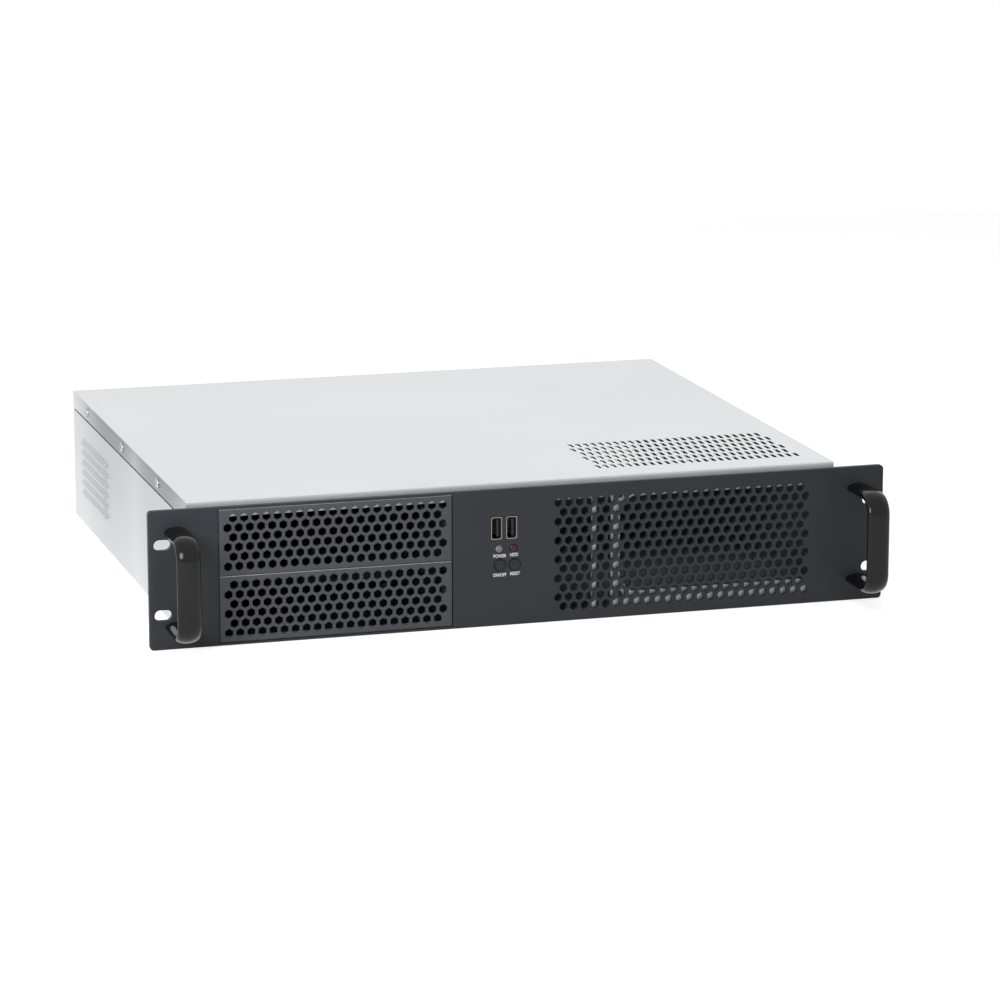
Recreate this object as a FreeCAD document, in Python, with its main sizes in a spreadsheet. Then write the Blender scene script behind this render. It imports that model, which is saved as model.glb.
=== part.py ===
"""Short-depth 2U rackmount server case, empty, as a parametric assembly (millimetres).

Frame: +X to the right seen from the front, +Y towards the rear, +Z up. Sketches and
boxes are drawn in the case frame, whose y = 0 is the front face of the front panel and
whose z = 0 is the underside. Every sub-part's Placement then moves that frame so that
the origin is the middle of the bounding box at floor level.
"""
import FreeCAD, Part
import os

import Sketcher

Vector = FreeCAD.Vector

DOC = FreeCAD.newDocument("RackCase")

DIMENSIONS = (
    # overall
    ("panel_width", 482.6, "19 inch front panel"),
    ("panel_height", 88.1, "two rack units less clearance"),
    ("panel_thick", 4, "front panel plate"),
    ("panel_corner", 2.5, "corner radius of the front panel"),
    ("body_half", 214, "half the outer width of the tray"),
    ("body_depth", 388.8, "front face to the rear face of the rear panel"),
    ("gauge", 1.2, "zinc plated sheet"),
    ("handle_reach", 40, "handle in front of the panel"),
    ("inlet_flange", 2.5, "mains inlet flange behind the rear panel"),
    # rack slots
    ("rack_span", 465.1, "rack slot centres across"),
    ("rack_rise", 44.45, "rack slot centres up, one rack unit"),
    ("rack_slot_length", 11, ""),
    ("rack_slot_width", 7, ""),
    # tray, cover
    ("ledge_height", 76, "joggle in the side wall where the cover flange sits"),
    ("joggle", 1.4, "how far the wall steps in above the ledge"),
    ("wall_top", 86.9, "top of the side walls"),
    ("cover_top", 88.6, ""),
    ("cover_flange", 77, "lower edge of the cover's side flanges"),
    ("cover_half", 213.9, "half the outer width of the cover"),
    ("cover_front", 18, "front fold of the cover"),
    ("frame_top", 84, "top of the inner front frame"),
    ("frame_half", 212.7, "half the width of the inner walls"),
    ("frame_flange", 26, "depth of the front frame's top flange"),
    # drive bays
    ("bay_centre", -122.3, "x of the bay opening"),
    ("bay_width", 150.4, "opening in the panel"),
    ("bay_margin", 1.45, "panel strip above and below the opening"),
    ("bay_cover_width", 149.4, ""),
    ("bay_cover_height", 42.1, ""),
    ("bay_cover_depth", 3.5, ""),
    ("bay_skin", 1.3, "perforated face of a bay cover"),
    ("cage_half", 75.4, "half the outer width of the drive cage"),
    ("cage_depth", 128, ""),
    ("cage_top", 82.4, ""),
    # perforation
    ("mesh_pitch", 13.8, "hexagon spacing along a row"),
    ("mesh_row", 11, "row spacing"),
    ("mesh_hole", 10.8, "hexagon across flats"),
    ("mesh_centre", 105.3, "x of the panel's perforated field"),
    # controls
    ("usb_left", -18.7, "x of the left USB port"),
    ("usb_right", -8.8, "x of the right USB port"),
    ("usb_height", 63.1, "z of both USB ports"),
    ("usb_shell_width", 6.9, ""),
    ("usb_shell_height", 14.4, ""),
    ("lamp_left", -16.9, "x of the power light"),
    ("lamp_right", -7.3, "x of the disk light"),
    ("lamp_height", 49.7, ""),
    ("lamp_radius", 2.5, ""),
    ("button_left", -16.4, "x of the power button"),
    ("button_right", -6.6, "x of the reset button"),
    ("button_height", 39.1, ""),
    ("button_radius", 3.6, ""),
    ("button_hole", 4, "radius of the panel hole round a button"),
    ("board_front", 15, "y of the control board's front face"),
    ("board_thick", 1.6, ""),
    # handles
    ("handle_x", 224, "handle centre line"),
    ("handle_foot", 14, "z of the lower leg"),
    ("handle_head", 74.1, "z of the upper leg"),
    ("handle_wide", 15, "bar section across"),
    ("handle_slim", 7, "bar section in depth"),
    ("handle_bend", 11, "bend radius of the centre line"),
    ("handle_ease", 1.9, "chamfer of the long edges"),
    # top vent
    ("vent_left", 62.4, "x of the first slot"),
    ("vent_pitch", 12.3, ""),
    ("vent_front", 45.75, "y of the first row's centre"),
    ("vent_row", 16.75, "row spacing"),
    ("vent_slot_length", 12.5, ""),
    ("vent_slot_width", 6.1, ""),
    # side louvres
    ("louvre_rear", 352, "y of the louvres' rear end"),
    ("louvre_length", 80, ""),
    ("louvre_low", 22, "z of the lowest louvre's mouth"),
    ("louvre_pitch", 7, ""),
    ("louvre_reach", 2.2, "how far a louvre stands out"),
    # rear
    ("slot_first", 24.7, "x of the slot next to the connector aperture"),
    ("slot_pitch", 20.32, ""),
    ("aperture_left", 41.7, "connector aperture"),
    ("aperture_width", 158.75, ""),
    ("aperture_low", 6.5, ""),
    ("aperture_height", 44.45, ""),
    ("fan_x", -147, ""),
    ("fan_z", 42, ""),
    ("fan_size", 60, ""),
    ("fan_depth", 25, ""),
    ("fan_bore", 28.8, ""),
    ("fan_hole_pitch", 50, ""),
    ("inlet_x", -196, ""),
    ("inlet_z", 42, ""),
    # mainboard
    ("post_x", 198.7, "x of the post column beside the connector aperture"),
    ("post_y", 376.5, "y of the rear row of posts"),
    ("post_height", 6.5, ""),
    # power supply window
    ("supply_left", 64, "window in the front frame"),
    ("supply_right", 202, ""),
    ("supply_low", 15.5, ""),
    ("supply_high", 77.5, ""),
    ("supply_corner", 8, "chamfer of the window's corners"),
    ("supply_hole_span", 138, "supply screw holes across"),
    ("supply_hole_rise", 64, "supply screw holes up"),
    # fixings
    ("screw_radius", 1.5, "thread of the small screws"),
    ("screw_head", 3.2, "corner radius of a small hexagon head"),
    ("screw_hole", 1.9, "corner radius of a small screw's hole"),
    ("panel_screw_x", 208, "screws that hold the panel to the frame"),
    ("panel_screw_low", 10.5, ""),
    ("panel_screw_high", 68, ""),
    ("cover_screw_height", 83.2, "z of the lid's screws"),
)


def make_sheet():
    """Spreadsheet of the driving dimensions: name, value, note."""
    sheet = DOC.addObject("Spreadsheet::Sheet", "dims")
    for row, (alias, value, note) in enumerate(DIMENSIONS, start=1):
        sheet.set(f"A{row}", alias)
        sheet.set(f"B{row}", str(value))
        sheet.set(f"C{row}", note)
        sheet.setAlias(f"B{row}", alias)
    DOC.recompute()
    return sheet


SHEET = make_sheet()
PARTS = []


def number(text):
    """Value of an expression of sheet cells."""
    return float(SHEET.evalExpression(str(text)))


def bind(target, path, text):
    """Bind one property of an object to an expression of sheet cells."""
    target.setExpression(path, str(text))


def finish(part, label):
    """Name a sub-part and move it from the case frame to the part's frame."""
    part.Label = label
    base = part.Placement.Base
    shift = "(dims.handle_reach - dims.body_depth - dims.inlet_flange) / 2"
    bind(part, "Placement.Base.y", f"{base.y} + {shift}")
    PARTS.append(part)
    return part


# ---------------------------------------------------------------- primitives

def box(name, low, high):
    """Part::Box between two corners given as expressions."""
    solid = DOC.addObject("Part::Box", name)
    for prop, start, end in zip(("Length", "Width", "Height"), low, high):
        bind(solid, prop, f"({end}) - ({start})")
    for axis, start in zip("xyz", low):
        bind(solid, f"Placement.Base.{axis}", start)
    return solid


def prism(name, sides, radius, height, at, outward=Vector(0, 0, 1)):
    """Regular prism whose base centre is at an expression point."""
    solid = DOC.addObject("Part::Prism", name)
    solid.Polygon = sides
    bind(solid, "Circumradius", radius)
    bind(solid, "Height", height)
    aim(solid, at, outward)
    return solid


def cylinder(name, radius, height, at, outward=Vector(0, 0, 1)):
    """Part::Cylinder whose base centre is at an expression point."""
    solid = DOC.addObject("Part::Cylinder", name)
    bind(solid, "Radius", radius)
    bind(solid, "Height", height)
    aim(solid, at, outward)
    return solid


def aim(solid, at, outward):
    """Turn a solid's own z axis to a direction and put it at an expression point."""
    solid.Placement.Rotation = FreeCAD.Rotation(Vector(0, 0, 1), outward)
    for axis, text in zip("xyz", at):
        bind(solid, f"Placement.Base.{axis}", text)


def fuse(name, pieces):
    """Union of several solids."""
    joined = DOC.addObject("Part::MultiFuse", name)
    joined.Shapes = pieces
    joined.Refine = True
    return joined


def cut(name, base, tools):
    """A solid less one tool or several."""
    result = DOC.addObject("Part::Cut", name)
    result.Base = base
    result.Tool = tools[0] if len(tools) == 1 else fuse(f"{name}_tools", tools)
    return result


def group(name, pieces):
    """Separate solids that share one node."""
    compound = DOC.addObject("Part::Compound", name)
    compound.Links = pieces
    return compound


# ---------------------------------------------------------------- part design

def make_body(name):
    """Empty PartDesign body."""
    return DOC.addObject("PartDesign::Body", name)


def datum(body, role):
    """Origin plane or axis of a body, by its role."""
    return next(item for item in body.Origin.OriginFeatures if item.Role == role)


def new_sketch(body, name, role, offset):
    """Sketch on an origin plane, moved along the positive axis by an expression."""
    sketch = body.newObject("Sketcher::SketchObject", name)
    sketch.AttachmentSupport = [(datum(body, role), "")]
    sketch.MapMode = "FlatFace"
    sign = "-" if role == "XZ_Plane" else ""
    if str(offset) != "0":
        bind(sketch, "AttachmentOffset.Base.z", f"{sign}({offset})")
    return sketch


def hold(sketch, geometry, point, at):
    """Hold one point of a sketch by two distances from its origin, both expressions."""
    first = sketch.ConstraintCount
    sketch.addConstraint(Sketcher.Constraint("DistanceX", -1, 1, geometry, point, number(at[0])))
    sketch.addConstraint(Sketcher.Constraint("DistanceY", -1, 1, geometry, point, number(at[1])))
    bind(sketch, f"Constraints[{first}]", at[0])
    bind(sketch, f"Constraints[{first + 1}]", at[1])


def polygon(body, name, role, corners, offset="0"):
    """Sketch of one closed outline of straight edges; its corners are expressions."""
    sketch = new_sketch(body, name, role, offset)
    points = [Vector(number(u), number(v), 0) for u, v in corners]
    count = len(points)
    lines = [Part.LineSegment(points[i], points[(i + 1) % count]) for i in range(count)]
    sketch.addGeometry(lines, False)
    for index in range(count):
        sketch.addConstraint(Sketcher.Constraint("Coincident", index, 2, (index + 1) % count, 1))
    for index, corner in enumerate(corners):
        hold(sketch, index, 1, corner)
    return sketch


def rectangle(body, name, role, low, high, offset="0"):
    """Sketch of one rectangle between two expression corners."""
    corners = ((low[0], low[1]), (high[0], low[1]), (high[0], high[1]), (low[0], high[1]))
    return polygon(body, name, role, corners, offset)


def circle(body, name, role, centre, radius, offset="0"):
    """Sketch of one circle."""
    sketch = new_sketch(body, name, role, offset)
    middle = Vector(number(centre[0]), number(centre[1]), 0)
    sketch.addGeometry(Part.Circle(middle, Vector(0, 0, 1), number(radius)), False)
    hold(sketch, 0, 3, centre)
    size = sketch.ConstraintCount
    sketch.addConstraint(Sketcher.Constraint("Radius", 0, number(radius)))
    bind(sketch, f"Constraints[{size}]", radius)
    return sketch


def obround(body, name, role, centre, length, width, offset="0"):
    """Sketch of one slot with round ends, long along the sketch's own x axis."""
    sketch = new_sketch(body, name, role, offset)
    radius = number(width) / 2
    reach = number(length) / 2 - radius
    middle = Vector(number(centre[0]), number(centre[1]), 0)
    quarter = 1.5707963267948966
    left, right = middle - Vector(reach, 0, 0), middle + Vector(reach, 0, 0)
    up = Vector(0, radius, 0)
    axis = Vector(0, 0, 1)
    sketch.addGeometry(
        [
            Part.ArcOfCircle(Part.Circle(left, axis, radius), quarter, 3 * quarter),
            Part.LineSegment(left - up, right - up),
            Part.ArcOfCircle(Part.Circle(right, axis, radius), -quarter, quarter),
            Part.LineSegment(right + up, left + up),
        ],
        False,
    )
    for index in range(4):
        sketch.addConstraint(Sketcher.Constraint("Tangent", index, 2, (index + 1) % 4, 1))
    spread = f"(({length}) - ({width})) / 2"
    hold(sketch, 0, 3, (f"{centre[0]} - {spread}", centre[1]))
    hold(sketch, 2, 3, (f"{centre[0]} + {spread}", centre[1]))
    size = sketch.ConstraintCount
    sketch.addConstraint(Sketcher.Constraint("Radius", 0, radius))
    bind(sketch, f"Constraints[{size}]", f"({width}) / 2")
    sketch.addConstraint(Sketcher.Constraint("Equal", 0, 2))
    return sketch


def hexagon(body, name, role, centre, flats, offset="0"):
    """Sketch of one hexagon with a corner up, by its width across flats."""
    across = (0, -0.5, -0.5, 0, 0.5, 0.5)
    upward = (0.57735, 0.288675, -0.288675, -0.57735, -0.288675, 0.288675)
    corners = [
        (f"{centre[0]} + ({flats}) * {u}", f"{centre[1]} + ({flats}) * {v}")
        for u, v in zip(across, upward)
    ]
    return polygon(body, name, role, corners, offset)


def rounded(body, name, role, centre, radius, sides, offset="0"):
    """Sketch of a regular polygon that stands for a small circle which nothing runs in."""
    corners = []
    for index in range(sides):
        angle = f"{360 * (index + 0.5) / sides} deg"
        corners.append((f"{centre[0]} + ({radius}) * cos({angle})", f"{centre[1]} + ({radius}) * sin({angle})"))
    return polygon(body, name, role, corners, offset)


def volume_of(body):
    """Volume of a body's present tip."""
    DOC.recompute()
    return body.Shape.Volume


def pad(body, sketch, name, length, forward=True):
    """Pad along the positive axis of the sketch's plane, or against it."""
    feature = body.newObject("PartDesign::Pad", name)
    feature.Profile = sketch
    on_front = sketch.AttachmentSupport[0][0].Role == "XZ_Plane"
    feature.Reversed = forward if on_front else not forward
    bind(feature, "Length", length)
    return feature


def pocket(body, sketch, name, length=None, forward=True):
    """Pocket along the positive axis of the sketch's plane, or against it; None is through all."""
    before = volume_of(body)
    feature = body.newObject("PartDesign::Pocket", name)
    feature.Profile = sketch
    on_front = sketch.AttachmentSupport[0][0].Role == "XZ_Plane"
    feature.Reversed = not forward if on_front else forward
    if length is None:
        feature.Type = "ThroughAll"
    else:
        bind(feature, "Length", length)
    if volume_of(body) >= before - 1e-6:
        raise RuntimeError(f"{body.Name}: pocket {name} cuts nothing")
    return feature


def repeat(body, feature, name, first, second=None):
    """Linear pattern of a feature: (axis role, spacing, count) once or twice."""
    pattern = body.newObject("PartDesign::LinearPattern", name)
    pattern.Originals = [feature]
    pattern.Direction = (datum(body, first[0]), [""])
    pattern.Mode = "Spacing"
    bind(pattern, "Offset", first[1])
    pattern.Occurrences = first[2]
    if second:
        pattern.Direction2 = (datum(body, second[0]), [""])
        pattern.Mode2 = "Spacing"
        bind(pattern, "Offset2", second[1])
        pattern.Occurrences2 = second[2]
        pattern.Spacings2 = [-1.0] * (second[2] - 1)
    body.Tip = pattern
    return pattern


def round_edges(body, name, radius, wanted):
    """Fillet the edges of the present tip that a test picks."""
    DOC.recompute()
    tip = body.Tip
    names = [f"Edge{i}" for i, edge in enumerate(tip.Shape.Edges, start=1) if wanted(edge)]
    feature = body.newObject("PartDesign::Fillet", name)
    feature.Base = (tip, names)
    bind(feature, "Radius", radius)
    body.Tip = feature
    return feature


def ease_edges(body, name, size, wanted):
    """Chamfer the edges of the present tip that a test picks."""
    DOC.recompute()
    tip = body.Tip
    names = [f"Edge{i}" for i, edge in enumerate(tip.Shape.Edges, start=1) if wanted(edge)]
    feature = body.newObject("PartDesign::Chamfer", name)
    feature.Base = (tip, names)
    bind(feature, "Size", size)
    body.Tip = feature
    return feature


def along(edge, direction):
    """Whether a straight edge runs along a direction."""
    if not isinstance(edge.Curve, Part.Line):
        return False
    span = edge.Vertexes[-1].Point - edge.Vertexes[0].Point
    return abs(abs(span.normalize() * direction) - 1) < 1e-6


def hex_field(body, name, centre_x, centre_z, long_row, rows):
    """Staggered field of hexagons: rows of long_row holes and of one less, in turn."""
    low = f"{centre_z} - ({rows} - 1) / 2 * dims.mesh_row"
    for shift, count, times in ((0, long_row, (rows + 1) // 2), (1, long_row - 1, rows // 2)):
        start = f"{centre_x} - ({long_row} - 1 - {shift}) / 2 * dims.mesh_pitch"
        height = f"{low} + {shift} * dims.mesh_row"
        outline = hexagon(body, f"{name}_hole_{shift}", "XZ_Plane", (start, height), "dims.mesh_hole")
        hole = pocket(body, outline, f"{name}_punch_{shift}")
        second = ("Z_Axis", "2 * dims.mesh_row", times) if times > 1 else None
        repeat(body, hole, f"{name}_rows_{shift}", ("X_Axis", "dims.mesh_pitch", count), second)


# ---------------------------------------------------------------- front

def front_panel():
    """Black front panel: rack ears with slots, bay opening, perforated field, control holes."""
    body = make_body("front_panel_body")
    sketch = rectangle(body, "panel_outline", "XZ_Plane", ("-dims.panel_width / 2", "0"),
                       ("dims.panel_width / 2", "dims.panel_height"))
    pad(body, sketch, "panel_plate", "dims.panel_thick")
    round_edges(body, "panel_corners", "dims.panel_corner", lambda edge: along(edge, Vector(0, 1, 0)))
    sketch = rectangle(
        body, "bay_outline", "XZ_Plane",
        ("dims.bay_centre - dims.bay_width / 2", "dims.bay_margin"),
        ("dims.bay_centre + dims.bay_width / 2", "dims.panel_height - dims.bay_margin"))
    pocket(body, sketch, "bay_opening")
    sketch = obround(body, "rack_slot", "XZ_Plane",
                     ("-dims.rack_span / 2", "(dims.panel_height - dims.rack_rise) / 2"),
                     "dims.rack_slot_length", "dims.rack_slot_width")
    slot = pocket(body, sketch, "rack_slot_cut")
    repeat(body, slot, "rack_slots", ("X_Axis", "dims.rack_span", 2), ("Z_Axis", "dims.rack_rise", 2))
    sketch = rounded(body, "handle_hole", "XZ_Plane", ("-dims.handle_x", "dims.handle_foot"), "2.4", 6)
    hole = pocket(body, sketch, "handle_hole_cut")
    repeat(body, hole, "handle_holes", ("X_Axis", "2 * dims.handle_x", 2),
           ("Z_Axis", "dims.handle_head - dims.handle_foot", 2))
    for side in ("left", "right"):
        low = (f"dims.usb_{side} - dims.usb_shell_width / 2 - 0.3",
               "dims.usb_height - dims.usb_shell_height / 2 - 0.3")
        high = (f"dims.usb_{side} + dims.usb_shell_width / 2 + 0.3",
                "dims.usb_height + dims.usb_shell_height / 2 + 0.3")
        pocket(body, rectangle(body, f"usb_window_{side}", "XZ_Plane", low, high), f"usb_cut_{side}")
        lamp = rounded(body, f"lamp_hole_{side}", "XZ_Plane", (f"dims.lamp_{side}", "dims.lamp_height"),
                       "dims.lamp_radius + 0.2", 12)
        pocket(body, lamp, f"lamp_cut_{side}")
        key = rounded(body, f"button_hole_{side}", "XZ_Plane",
                      (f"dims.button_{side}", "dims.button_height"), "dims.button_hole", 12)
        pocket(body, key, f"button_cut_{side}")
    panel_screw_holes(body, "panel", "dims.panel_thick - 2.8", "2.8")
    hex_field(body, "grille", "dims.mesh_centre", "dims.panel_height / 2 - 1", 12, 6)
    return finish(body, "front_panel")


def panel_screw_holes(body, owner, start, depth):
    """Four small holes for the screws between the frame and the panel."""
    sketch = hexagon(body, f"{owner}_screw_hole", "XZ_Plane",
                     ("-dims.panel_screw_x", "dims.panel_screw_low"), "2 * dims.screw_hole * 0.866", start)
    hole = pocket(body, sketch, f"{owner}_screw_cut", depth)
    repeat(body, hole, f"{owner}_screw_holes", ("X_Axis", "2 * dims.panel_screw_x", 2),
           ("Z_Axis", "dims.panel_screw_high - dims.panel_screw_low", 2))


BEND_STEPS = 4


def handle(side, sign):
    """Carrying handle: a flat bar with two bends, its long edges eased, and a tapped bore in each leg."""
    body = make_body(f"handle_{side}_body")
    slim, reach = "dims.handle_slim", "dims.handle_reach"
    hub_y = f"dims.handle_bend + {slim} / 2 - {reach}"
    outline = []
    for skin, order in (("+", 1), ("-", -1)):
        radius = f"(dims.handle_bend {skin} {slim} / 2)"
        low = [("0", f"dims.handle_foot {'-' if skin == '+' else '+'} {slim} / 2")]
        high = [("0", f"dims.handle_head {skin} {slim} / 2")]
        for step in range(BEND_STEPS + 1):
            angle = f"{90 * step / BEND_STEPS} deg"
            y = f"{hub_y} - {radius} * sin({angle})"
            low.append((y, f"dims.handle_foot + dims.handle_bend - {radius} * cos({angle})"))
            high.append((y, f"dims.handle_head - dims.handle_bend + {radius} * cos({angle})"))
        outline += (low + high[::-1])[::order]
    profile = polygon(body, f"bar_profile_{side}", "YZ_Plane", outline, "-dims.handle_wide / 2")
    pad(body, profile, f"bar_blank_{side}", "dims.handle_wide")

    def long_edge(edge):
        """Edges along the bar, on both of its flanks."""
        ends = [v.Point for v in edge.Vertexes]
        on_flank = all(abs(abs(p.x) - number("dims.handle_wide") / 2) < 1e-6 for p in ends)
        return on_flank and ends[0].x * ends[-1].x > 0 and min(p.y for p in ends) < -1e-6

    ease_edges(body, f"bar_edges_{side}", "dims.handle_ease", long_edge)
    for end in ("foot", "head"):
        bore = rounded(body, f"handle_bore_{end}_{side}", "XZ_Plane", ("0", f"dims.handle_{end}"), "2.3", 6)
        pocket(body, bore, f"handle_tap_{end}_{side}", "12", forward=False)
    bind(body, "Placement.Base.x", f"{sign} * dims.handle_x")
    return finish(body, f"handle_{side}")


def bay_cover(level, low):
    """Perforated cover of one drive bay: a shallow pan with two snap hooks."""
    body = make_body(f"bay_cover_{level}_body")
    left = "dims.bay_centre - dims.bay_cover_width / 2"
    right = "dims.bay_centre + dims.bay_cover_width / 2"
    high = f"{low} + dims.bay_cover_height"
    sketch = rectangle(body, f"cover_outline_{level}", "XZ_Plane", (left, low), (right, high), "0.2")
    pad(body, sketch, f"cover_block_{level}", "dims.bay_cover_depth")
    inner = rectangle(body, f"cover_hollow_{level}", "XZ_Plane", (f"{left} + 1.2", f"{low} + 1.2"),
                      (f"{right} - 1.2", f"{high} - 1.2"), "0.2 + dims.bay_skin")
    pocket(body, inner, f"cover_pan_{level}")
    hex_field(body, f"cover_{level}", "dims.bay_centre", f"{low} + dims.bay_cover_height / 2", 10, 3)
    for side, edge, sign in (("left", left, 1), ("right", right, -1)):
        start = f"{edge} + {sign} * 2.4"
        end = f"{edge} + {sign} * 3.6"
        pair = (start, end) if sign > 0 else (end, start)
        hook = rectangle(body, f"hook_{side}_{level}", "XZ_Plane", (pair[0], f"{low} + 16"),
                         (pair[1], f"{low} + 26"), "0.2 + dims.bay_skin")
        pad(body, hook, f"hook_pad_{side}_{level}", "10")
    return finish(body, f"bay_cover_{level}")


def front_frame():
    """Zinc plated inner front wall with its windows, top flange and side returns."""
    body = make_body("front_frame_body")
    step = "dims.frame_half - dims.joggle"
    shoulder = "dims.ledge_height - 1.5"
    sketch = polygon(body, "frame_outline", "XZ_Plane", (
        ("-dims.frame_half", "dims.gauge"), ("dims.frame_half", "dims.gauge"),
        ("dims.frame_half", shoulder), (step, shoulder), (step, "dims.frame_top"),
        (f"-({step})", "dims.frame_top"), (f"-({step})", shoulder), ("-dims.frame_half", shoulder),
    ), "dims.panel_thick")
    pad(body, sketch, "frame_plate", "dims.gauge")
    back = "dims.panel_thick + dims.gauge"
    sketch = rectangle(body, "frame_lip", "XZ_Plane", (f"-({step})", "dims.frame_top - dims.gauge"),
                       (step, "dims.frame_top"), back)
    pad(body, sketch, "frame_top_flange", "dims.frame_flange")
    for side, low, high in (("left", "-dims.frame_half", "-dims.frame_half + dims.gauge"),
                            ("right", "dims.frame_half - dims.gauge", "dims.frame_half")):
        sketch = rectangle(body, f"frame_return_{side}", "XZ_Plane", (low, "dims.gauge"),
                           (high, shoulder), back)
        pad(body, sketch, f"frame_side_{side}", "14")
    sketch = rectangle(
        body, "frame_bay", "XZ_Plane",
        ("dims.bay_centre - dims.bay_width / 2 + 1.5", "5"),
        ("dims.bay_centre + dims.bay_width / 2 - 1.5", "dims.frame_top - 3"))
    pocket(body, sketch, "frame_bay_window", back)
    sketch = rectangle(body, "frame_controls", "XZ_Plane", ("-30", "28"), ("6", "76"))
    pocket(body, sketch, "frame_control_window", back)
    for name, low, high in (("wide", "16", "45"), ("narrow", "48.5", "58")):
        sketch = rectangle(body, f"frame_vent_{name}", "XZ_Plane", (low, "6"), (high, "78"))
        pocket(body, sketch, f"frame_vent_window_{name}", back)
    left, right, low, high, nip = ("dims.supply_left", "dims.supply_right", "dims.supply_low",
                                   "dims.supply_high", "dims.supply_corner")
    sketch = polygon(body, "supply_outline", "XZ_Plane", (
        (f"{left} + {nip}", low), (f"{right} - {nip}", low), (right, f"{low} + {nip}"),
        (right, f"{high} - {nip}"), (f"{right} - {nip}", high), (f"{left} + {nip}", high),
        (left, f"{high} - {nip}"), (left, f"{low} + {nip}"),
    ))
    pocket(body, sketch, "supply_window", back)
    sketch = circle(body, "supply_hole", "XZ_Plane",
                    (f"({left} + {right} - dims.supply_hole_span) / 2",
                     f"({low} + {high} - dims.supply_hole_rise) / 2"), "1.8")
    hole = pocket(body, sketch, "supply_hole_cut", back)
    repeat(body, hole, "supply_holes", ("X_Axis", "dims.supply_hole_span", 2),
           ("Z_Axis", "dims.supply_hole_rise", 2))
    panel_screw_holes(body, "frame", "dims.panel_thick", "dims.gauge")
    return finish(body, "front_frame")


# ---------------------------------------------------------------- tray, cover, rear

COVER_SCREWS = ("100", "215", "337")
REAR_SCREWS = ("-165", "0", "165")


def side_screw_holes(body, owner):
    """Holes of the lid's side screws, through both sides of a part."""
    for index, y in enumerate(COVER_SCREWS, start=1):
        sketch = hexagon(body, f"{owner}_side_hole_{index}", "YZ_Plane", (y, "dims.cover_screw_height"),
                         "2 * dims.screw_hole * 0.866", "-dims.body_half - 1")
        pocket(body, sketch, f"{owner}_side_cut_{index}", "2 * dims.body_half + 2")


def rear_screw_holes(body, owner):
    """Holes of the lid's rear screws."""
    for index, x in enumerate(REAR_SCREWS, start=1):
        sketch = hexagon(body, f"{owner}_rear_hole_{index}", "XZ_Plane", (x, "dims.cover_screw_height"),
                         "2 * dims.screw_hole * 0.866", "dims.body_depth - 3")
        pocket(body, sketch, f"{owner}_rear_cut_{index}", "6")


def base_tray():
    """Folded tray: floor and two side walls with a joggle and a bank of louvres each."""
    body = make_body("base_tray_body")
    outer, inner = "dims.body_half", "dims.body_half - dims.gauge"
    high_out, high_in = "dims.body_half - dims.joggle", "dims.body_half - dims.joggle - dims.gauge"
    right = (
        (outer, "0"), (outer, "dims.ledge_height"), (high_out, "dims.ledge_height"),
        (high_out, "dims.wall_top"), (high_in, "dims.wall_top"),
        (high_in, "dims.ledge_height - dims.gauge"), (inner, "dims.ledge_height - dims.gauge"),
        (inner, "dims.gauge"),
    )
    left = tuple((f"-({u})", v) for u, v in reversed(right))
    sketch = polygon(body, "tray_section", "XZ_Plane", right + left, "dims.panel_thick")
    pad(body, sketch, "tray_fold", "dims.body_depth - dims.panel_thick")
    sketch = rectangle(body, "wall_notch", "YZ_Plane", ("dims.panel_thick - 1", "dims.frame_top"),
                       ("dims.cover_front + 2", "dims.wall_top + 1"), "-dims.body_half - 1")
    pocket(body, sketch, "wall_notch_cut", "2 * dims.body_half + 2")

    def bottom_edge(edge):
        """The two outer and two inner bend lines along the floor."""
        return along(edge, Vector(0, 1, 0)) and edge.Vertexes[0].Point.z < 2

    round_edges(body, "tray_bends", "0.8", bottom_edge)
    front = "dims.louvre_rear - dims.louvre_length"
    for side, sign in (("left", -1), ("right", 1)):
        out = f"{sign} * (dims.body_half + dims.louvre_reach)"
        skin = f"{sign} * (dims.body_half + dims.louvre_reach - 0.9)"
        wall = f"{sign} * (dims.body_half - 0.2)"
        inside = f"{sign} * (dims.body_half - dims.gauge - 0.5)"
        hood = polygon(body, f"louvre_hood_{side}", "XZ_Plane", (
            (wall, "dims.louvre_low + 5.6"), (out, "dims.louvre_low + 1.6"),
            (out, "dims.louvre_low"), (wall, "dims.louvre_low"),
        ), front)
        shell = pad(body, hood, f"louvre_shell_{side}", "dims.louvre_length")
        repeat(body, shell, f"louvre_shells_{side}", ("Z_Axis", "dims.louvre_pitch", 6))
        mouth = polygon(body, f"louvre_mouth_{side}", "XZ_Plane", (
            (inside, "dims.louvre_low"), (inside, "dims.louvre_low + 4.2"),
            (wall, "dims.louvre_low + 4.2"), (skin, "dims.louvre_low + 1.4"),
            (skin, "dims.louvre_low"),
        ), f"{front} + 1")
        cut_out = pocket(body, mouth, f"louvre_cut_{side}", "dims.louvre_length - 2")
        repeat(body, cut_out, f"louvre_cuts_{side}", ("Z_Axis", "dims.louvre_pitch", 6))
    side_screw_holes(body, "tray")
    for index, (x, y) in enumerate((("-60", "25"), ("60", "25"), ("-60", "115"), ("60", "115")), start=1):
        sketch = hexagon(body, f"tray_floor_hole_{index}", "XY_Plane", (f"dims.bay_centre + {x}", y),
                         "3.4", "3")
        pocket(body, sketch, f"tray_floor_cut_{index}", "5", forward=False)
    return finish(body, "base_tray")


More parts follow.
